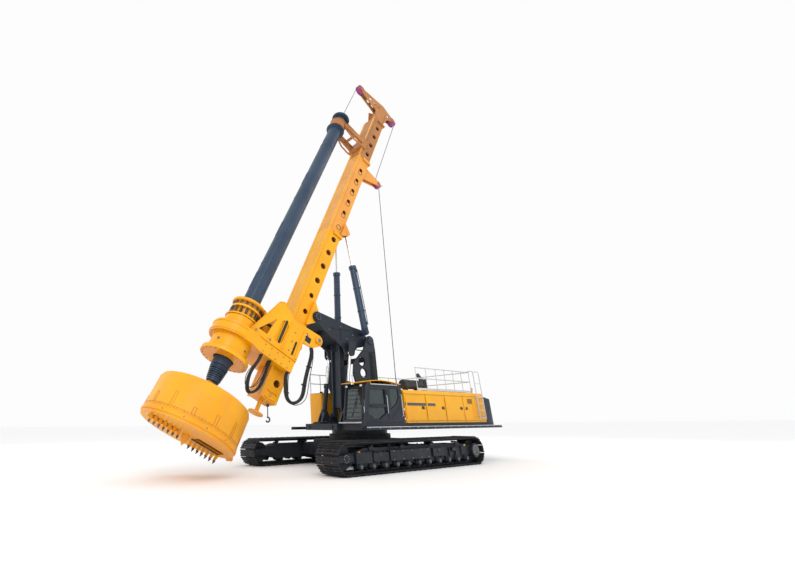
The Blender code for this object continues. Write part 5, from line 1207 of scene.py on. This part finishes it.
mast_details()
head_details()
ropes()
winch_wraps()

# --- rotary drive, kelly bar and bucket


def helix(centre, radius, low, high, turns, count=None):
    count = count or int(turns * 10)
    points = []
    for i in range(count + 1):
        a = math.tau * turns * i / count
        points.append(ring_point(a, radius, low + (high - low) * i / count, *centre))
    return points


MOTOR_RINGS = (
    [(0.172, 5.80), (0.19, 5.81), (0.19, 5.88), (0.172, 5.89)],
    [(0.172, 6.30), (0.185, 6.31), (0.185, 6.38), (0.14, 6.47), (0.0, 6.48)],
)


def drive_details():
    yellow = Kit("drive_fittings", "carriage", YELLOW, MAST)
    bolts = Kit("drive_bolts", "carriage", BOLT, MAST)
    dark = Kit("drive_hose_lines", "carriage", RUBBER, MAST)
    slate = Kit("drive_motors", "carriage", SLATE, MAST)
    # table: rim, bolt row, oil plugs
    for k in range(25):
        a = math.pi + math.pi * (k + 0.5) / 25
        bolts.bolt((0.89 * math.cos(a), 0.89 * math.sin(a), 5.50), (0, 0, 1), 0.018, 0.022)
        bolts.bolt((0.86 * math.cos(a), 0.86 * math.sin(a), 5.05), (0, 0, -1), 0.016, 0.02)
    rim = [(0.952, 5.10), (0.972, 5.105), (0.972, 5.13), (0.952, 5.135)]
    yellow.lathe(rim, Matrix.Rotation(math.pi, 4, "Z"), 40, part=math.pi)
    rim = [(0.952, 5.40), (0.968, 5.405), (0.968, 5.43), (0.952, 5.435)]
    yellow.lathe(rim, Matrix.Rotation(math.pi, 4, "Z"), 40, part=math.pi)
    for side in BOTH:
        for n in (0.95, 1.25, 1.55, 1.85, 2.15):
            bolts.bolt((side * 0.80, n, 5.14), (side, 0, 0), 0.018, 0.018)
            bolts.bolt((side * 0.80, n, 5.42), (side, 0, 0), 0.018, 0.018)
        # side frames of the sledge: ribs, pads, bosses
        yellow.box(span(side, 0.77, 0.82), (0.16, 2.42), (5.55, 5.62), 0.01)
        yellow.box(span(side, 0.77, 0.81), (1.62, 1.68), (5.65, 6.9), 0.01)
        yellow.box(span(side, 0.77, 0.81), (2.30, 2.42), (5.65, 6.9), 0.01)
        yellow.rod((side * 0.76, 0.30, 5.66), (side * 0.84, 0.30, 5.66), 0.075, 20)
        yellow.rod((side * 0.76, 1.00, 5.66), (side * 0.84, 1.00, 5.66), 0.075, 20)
        bolts.rod((side * 0.83, 0.30, 5.66), (side * 0.86, 0.30, 5.66), 0.045, 16)
        bolts.rod((side * 0.83, 1.00, 5.66), (side * 0.86, 1.00, 5.66), 0.045, 16)
        yellow.tube(
            [(side * 0.775, *p) for p in ((0.12, 5.62), (0.80, 7.30), (1.02, 7.42), (1.30, 7.27))],
            0.016,
            8,
        )
        for n, s in ((1.95, 5.8), (1.95, 6.2), (1.95, 6.6), (2.36, 5.8), (2.36, 6.7)):
            bolts.bolt((side * 0.775, n, s), (side, 0, 0), 0.020, 0.02)
        for n, low, high, wide in ((1.42, 5.85, 6.75, 0.075), (2.15, 5.75, 6.25, 0.06)):
            steps = [math.pi * k / 8 for k in range(9)]
            top = [(n + wide * math.cos(a), high + wide * math.sin(a)) for a in steps]
            foot = [(n - wide * math.cos(a), low - wide * math.sin(a)) for a in steps]
            dark.plate("x", span(side, 0.768, 0.776), top + foot)
            yellow.tube([(side * 0.776, *p) for p in [*top, *foot, top[0]]], 0.012, 6)
        # rear lug pin
        yellow.rod((side * 0.75, 3.12, 6.98), (side * 0.80, 3.12, 6.98), 0.15, 24)
        bolts.rod((side * 0.795, 3.12, 6.98), (side * 0.82, 3.12, 6.98), 0.085, 20)
        slate.box(span(side, 0.60, 0.72), (2.50, 2.80), (6.60, 6.86), 0.02)
    # motors: caps, flanges and hoses
    for x in (-0.25, 0.25):
        for profile in MOTOR_RINGS:
            slate.lathe(profile, Matrix.Translation((x, 0.98, 0)), 28)
        bolts.circle_of_bolts((x, 0.98, 5.88), (0, 0, 1), 0.15, 8, 0.012, 0.014)
        dark.tube(
            smoothed([(x, 1.14, 6.1), (x, 1.3, 6.15), (x * 1.6, 1.35, 6.8), (x * 1.2, 1.5, 7.0)]), 0.022, 8
        )
        dark.tube(smoothed([(x, 1.14, 6.25), (x, 1.26, 6.4), (x * 1.3, 1.3, 6.9), (x, 1.45, 7.05)]), 0.018, 8)
    # thin lines that hang beside the hose bundles
    for x, off in ((0.52, 0.0), (0.66, 0.06)):
        line = [(x, 1.04, 5.04), (x, 1.0, 4.7), (x, 0.80 + off, 4.15), (x, 1.02, 3.66)]
        line += [(x, 1.40, 4.0), (x, 1.42, 5.04)]
        dark.tube(smoothed(line), 0.014, 8)
    for x, off in ((0.65, 0.0), (0.80, 0.05)):
        line = [(x, 2.92, 6.5), (x, 3.12, 6.2), (x, 3.22 + off, 5.3), (x, 3.44 + off, 4.42), (x, 2.80, 3.96 - off)]
        line += [(x, 2.36, 4.8), (x, 2.34, 5.04)]
        dark.tube(smoothed(line), 0.014, 8)
    for x in (0.50, 0.55, 0.65, 0.70):
        line = [(x, n + 0.03 * math.sin(40 * x), s) for n, s in FRONT_ROUTE[:-1]]
        dark.tube(smoothed([*line, (x, 1.46, 5.04)]), 0.030, 8)
    for x in (0.675, 0.715, 0.755, 0.795):
        line = [(x, n + 0.03 * math.sin(40 * x), s) for n, s in REAR_ROUTE[:-1]]
        dark.tube(smoothed([*line, (x, 2.28, 5.04)]), 0.030, 8)
    for n, s in ((3.10, 5.75), (3.16, 5.0), (2.55, 4.35)):
        dark.box((0.64, 0.83), (n - 0.075, n + 0.075), (s - 0.02, s + 0.02), 0.008)
    for kit in (yellow, bolts, dark, slate):
        kit.done()
    stack = Kit("drive_springs", "drive_sleeve", GREASED, MAST)
    studs = Kit("drive_spring_studs", "drive_sleeve", BOLT, MAST)
    ring = Kit("drive_sleeve_trim", "drive_sleeve", YELLOW, MAST)
    for k in range(16):
        a = math.tau * k / 16
        spot = (0.585 * math.cos(a), 0.585 * math.sin(a))
        stack.tube(helix(spot, 0.045, 5.93, 6.33, 6), 0.014, 6)
        studs.rod((*spot, 5.90), (*spot, 6.76), 0.016, 8)
        studs.bolt((*spot, 6.72), (0, 0, 1), 0.022, 0.03)
        mid = math.tau * (k + 0.5) / 16
        spot = (0.60 * math.cos(mid), 0.60 * math.sin(mid))
        stack.tube(helix(spot, 0.035, 6.43, 6.60, 3), 0.012, 6)
        ring.rod(ring_point(mid, 0.60, 6.60), ring_point(mid, 0.60, 6.74), 0.035, 10)
    ring.lathe([(0.66, 6.62), (0.685, 6.63), (0.685, 6.70), (0.66, 6.71)], sides=48)
    ring.lathe([(0.66, 5.94), (0.70, 5.95), (0.70, 6.0), (0.60, 6.02)], sides=48)
    for k in range(24):
        a = math.tau * (k + 0.5) / 24
        studs.bolt((0.86 * math.cos(a), 0.86 * math.sin(a), 4.44), (0, 0, 1), 0.020, 0.024)
        studs.bolt((0.84 * math.cos(a), 0.84 * math.sin(a), 4.30), (0, 0, -1), 0.020, 0.02)
    for k in range(4):
        a = math.tau * (k + 0.3) / 4
        way = (math.cos(a), math.sin(a), 0)
        studs.rod(
            (0.75 * way[0], 0.75 * way[1], 4.75), (0.80 * way[0], 0.80 * way[1], 4.75), 0.045, 16
        )
    ring.lathe([(0.762, 4.46), (0.785, 4.47), (0.785, 4.52), (0.762, 4.53)], sides=48)
    for kit in (stack, studs, ring):
        kit.done()


def kelly_details():
    blue = Kit("kelly_collars", "kelly", BLUE, MAST)
    bolts = Kit("kelly_bolts", "kelly", BOLT, MAST)
    blue.lathe([(0.47, 20.02), (0.495, 20.03), (0.495, 20.06), (0.30, 20.075)], sides=48)
    blue.lathe([(0.47, 18.92), (0.50, 18.93), (0.50, 18.96), (0.46, 18.97)], sides=48)
    bolts.circle_of_bolts((0, 0, 20.06), (0, 0, 1), 0.40, 16, 0.018, 0.02)
    bolts.circle_of_bolts((0, 0, 18.90), (0, 0, -1), 0.425, 16, 0.016, 0.02)
    # lock pads set in the tube below the keys and near the top
    for k in range(3):
        for s, reach in ((17.6, 0.10), (14.0, 0.9), (10.4, 0.9), (7.4, 0.9)):
            a = math.tau * (k + 0.5) / 3
            turn = Matrix.Rotation(a, 4, "Z")
            for x in (-0.06, 0.06):
                spots = [turn @ Vector((x, 0.353, s + 0.1 * step)) for step in range(int(reach * 10) + 1)]
                if len(spots) > 1:
                    blue.tube(spots, 0.008, 6)
    for s in (4.5, 8.8, 13.0, 17.2):
        blue.lathe([(0.352, s), (0.362, s + 0.01), (0.362, s + 0.05), (0.352, s + 0.06)], sides=40)
    for k in range(7):
        s = 3.46 + 0.075 * k
        low, high = 0.24 + 0.012 * k, 0.275 + 0.012 * k
        blue.lathe([(low, s), (high, s + 0.012), (high, s + 0.04), (0.24, s + 0.05)], sides=36)
    blue.done()
    bolts.done()
    guide = Kit("kelly_guide_fittings", "kelly_guide", BROWN_ORANGE, MAST)
    nuts = Kit("kelly_guide_bolts", "kelly_guide", BOLT, MAST)
    for side in BOTH:
        guide.box(span(side, 0.33, 0.49), (0.30, 1.55), (19.545, 19.57), 0.006)
        guide.tube(
            [(side * 0.36, 0.28, 19.28), (side * 0.46, 0.95, 18.98), (side * 0.50, 1.58, 19.0)], 0.045, 10
        )
        for n in (0.45, 0.75, 1.05, 1.35):
            nuts.bolt((side * (0.40 + 0.06 * (n - 0.3)), n, 19.57), (0, 0, 1), 0.016, 0.018)
        for s in (19.1, 19.35, 19.6):
            nuts.bolt((side * 0.52, 1.75, s), (side, 0, 0), 0.016, 0.018)
    guide.lathe([(0.44, 19.50), (0.465, 19.51), (0.465, 19.56), (0.40, 19.57)], sides=48)
    guide.lathe([(0.44, 19.02), (0.462, 19.03), (0.462, 19.06), (0.44, 19.07)], sides=48)
    nuts.circle_of_bolts((0, 0, 19.55), (0, 0, 1), 0.39, 14, 0.014, 0.028)
    guide.done()
    nuts.done()


def bucket_details():
    yellow = Kit("bucket_welds", "kelly", YELLOW_OLD, MAST)
    steel = Kit("bucket_pins", "kelly", GREASED, MAST)
    weld = Kit("bucket_weld_marks", "kelly", BROWN_ORANGE, MAST)
    cast = Kit("bucket_castings", "kelly", BROWN_ORANGE, MAST)
    seam = [(1.699, 1.72), (1.712, 1.725), (1.712, 1.74), (1.699, 1.745)]
    yellow.lathe(seam, sides=72)
    yellow.lathe([(1.70, 1.55), (1.728, 1.56), (1.728, 1.62), (1.70, 1.63)], sides=72)
    for k in range(14):
        a = math.tau * (k + 0.5) / 14
        turn = Matrix.Rotation(a, 4, "Z")
        tall = 0.20 + 0.12 * (k % 3)
        corners = [(-0.05, 1.78), (-0.05, 1.78 + tall), (0.05, 1.78 + tall), (0.05, 1.78)]
        weld.tube([turn @ Vector((x, 1.7005, s)) for x, s in corners], 0.006, 6)
    for k in range(90):
        a = math.tau * k / 90
        b = a + 0.045
        weld.tube([(1.7005 * math.cos(v), 1.7005 * math.sin(v), 1.765) for v in (a, b)], 0.007, 6)
    for k in range(10):
        turn = Matrix.Rotation(math.tau * (k + 0.5) / 10, 4, "Z")
        cast.rod(turn @ Vector((0.44, 0, 2.94)), turn @ Vector((0.62, 0, 2.94)), 0.055, 8)
    # side cutters round the lower rim
    for k in range(14):
        a = math.tau * (k + 0.25) / 14
        if abs(math.sin(a) - 1) < 0.12:
            continue
        turn = Matrix.Rotation(a, 4, "Z")
        steel_spot = Matrix.Translation(turn @ Vector((0, 1.68, 1.60))) @ turn
        steel.rod(steel_spot @ Vector((0, 0.0, 0.0)), steel_spot @ Vector((0, 0.05, 0.0)), 0.02, 8)
    # lid: bolted ring, rim bead, socket pin and eyes
    yellow.lathe([(0.62, 2.90), (0.66, 2.93), (0.80, 2.93), (0.84, 2.90)], sides=48)
    steel.circle_of_bolts((0, 0, 2.93), (0, 0, 1), 0.73, 18, 0.022, 0.03)
    yellow.lathe([(1.40, 2.895), (1.43, 2.915), (1.47, 2.915), (1.50, 2.895)], sides=72)
    for side in BOTH:
        steel.rod((side * 0.24, 0, 3.12), (side * 0.31, 0, 3.12), 0.05, 16)
        steel.bolt((side * 0.31, 0, 3.12), (side, 0, 0), 0.02, 0.02)
    for k in range(4):
        a = math.tau * (k + 0.5) / 4
        spot = Vector((1.12 * math.cos(a), 1.12 * math.sin(a), 2.905))
        steel.ring(spot + Vector((0, 0, 0.05)), (math.sin(a), -math.cos(a), 0), 0.055, 0.016, 20, 8)
    for kit in (yellow, steel, weld, cast):
        kit.done()
    edge = Kit("bucket_floor_teeth", "bucket_floor", GREASED, MAST)
    for k in range(7):
        for turn in (0, math.pi):
            spin = Matrix.Rotation(turn, 4, "Z")
            y = 0.37 + 0.18 * k
            a = spin @ Vector((-0.26, y, 1.26))
            b = spin @ Vector((-0.315, y, 1.16))
            edge.rod(a, b, 0.048, 8, 0.012)
    for k in range(2):
        spin = Matrix.Rotation(math.pi * k, 4, "Z")
        lip = [spin @ Vector((-0.10, y, 1.455)) for y in (0.28, 0.8, 1.4)]
        edge.tube(lip, 0.022, 8)
    edge.done()


drive_details()
kelly_details()
bucket_details()

# --- small things on the upper works


def upper_extras():
    rail = Kit("front_rails", "upper", RAIL)
    slate = Kit("front_deck_fittings", "upper", SLATE)
    dark = Kit("front_deck_hoses", "upper", RUBBER)
    black = Kit("exhaust_trim", "upper", IRON)
    # rails and lamps ahead of the tank on the right
    for y in (-0.9, -0.3, 0.3):
        rail.rod((-2.0, y, 2.88), (-2.0, y, 3.78), 0.018, 8)
    for z in (3.35, 3.77):
        rail.rod((-2.0, -0.92, z), (-2.0, 0.34, z), 0.020, 8)
    slate.box((-2.02, -1.26), (-0.92, 0.42), (2.885, 2.90), 0.004)
    slate.rod((-1.5, -0.7, 2.89), (-1.5, -0.7, 2.97), 0.07, 20)
    slate.rod((-1.8, -0.2, 2.89), (-1.8, -0.2, 2.94), 0.05, 20)
    for z in (1.72, 2.2):
        slate.box((-2.066, -2.058), (-0.9, 0.40), (z, z + 0.012), 0.002)
    # hose run from the deck over the nose
    for k in range(5):
        x = -0.62 + 0.09 * k
        line = [(x, -1.05, 1.63), (x, -1.5, 1.64), (x, -1.75, 1.66), (x, -1.98, 1.64), (x, -2.02, 1.55)]
        dark.tube(smoothed(line), 0.024, 8)
    slate.box((-0.66, -0.22), (-1.62, -1.50), (1.60, 1.69), 0.01)
    # nose plate ribs and towing eyes
    for x in (-0.7, 0.7):
        slate.box((x - 0.02, x + 0.02), (-2.14, -1.95), (1.37, 1.60), 0.006)
        slate.ring((x, -2.12, 1.48), (1, 0, 0), 0.06, 0.02, 20, 8)
    # silencer bands, rain flap and heat shield
    for y in (1.22, 1.50, 1.90, 2.18):
        black.ring((1.60, y, 3.14), (0, 1, 0), 0.192, 0.010, 32, 8)
    for k in range(9):
        a = math.radians(20 + 17.5 * k)
        x, z = 1.60 + 0.2 * math.cos(a), 3.14 + 0.2 * math.sin(a)
        black.rod((x, 1.25, z), (x, 2.15, z), 0.006, 6)
    black.rod((1.60, 2.62, 2.88), (1.60, 2.62, 3.34), 0.12, 24)
    black.rod((1.60, 2.62, 3.33), (1.60, 2.62, 3.40), 0.15, 24)
    for k in range(8):
        a = math.tau * k / 8
        black.rod(ring_point(a, 0.122, 2.95, 1.60, 2.62), ring_point(a, 0.122, 3.30, 1.60, 2.62), 0.008, 6)
    # ladder hand loops at the rear
    for y in (5.60, 6.06):
        rail.tube([(2.22, y, 3.76), (2.20, y, 3.86), (2.05, y, 3.88), (1.92, y, 3.86)], 0.018, 10)
    for k in range(4):
        rail.box((2.14, 2.27), (5.60, 6.06), (1.793 + 0.3 * k, 1.807 + 0.3 * k), 0.003)
    for kit in (rail, slate, dark, black):
        kit.done()


upper_extras()

# --- floor and light


def floor():
    data = bpy.data.meshes.new("floor")
    size = 900
    corners = [(-size, -size, 0), (size, -size, 0), (size, size, 0), (-size, size, 0)]
    data.from_pydata(corners, [], [(0, 1, 2, 3)])
    n = Nodes("floor_paint")
    base = n.mix(n.ramp(n.noise(0.15, 3), 0.3, 0.7), (0.955, 0.955, 0.955), (0.945, 0.945, 0.948))
    data.materials.append(n.done(base, n.ramp(n.noise(2, 3), 0.3, 0.7, 0.75, 0.9)))
    made = bpy.data.objects.new("floor", data)
    bpy.context.scene.collection.objects.link(made)
    made.location.z = -0.002


def lights():
    sky = bpy.data.worlds.new("sky")
    bpy.context.scene.world = sky
    sky.use_nodes = True
    back = sky.node_tree.nodes["Background"]
    back.inputs["Color"].default_value = (1.0, 1.0, 1.0, 1)
    back.inputs["Strength"].default_value = 0.98
    for name, spot, size, power, tint in (
        ("key", (26, -20, 26), 18, 3800, (1.0, 0.97, 0.93)),
        ("fill", (-26, -18, 16), 20, 700, (0.92, 0.96, 1.0)),
        ("back", (4, 30, 24), 20, 1200, (1.0, 1.0, 1.0)),
    ):
        data = bpy.data.lights.new(name, "AREA")
        data.shape = "SQUARE"
        data.size = size
        data.energy = power
        data.color = tint
        made = bpy.data.objects.new(name, data)
        made.location = spot
        made.rotation_euler = (Vector((0, 0, 7)) - Vector(spot)).to_track_quat("-Z", "Y").to_euler()
        bpy.context.scene.collection.objects.link(made)
    bpy.context.scene.view_settings.view_transform = "Standard"


floor()
lights()
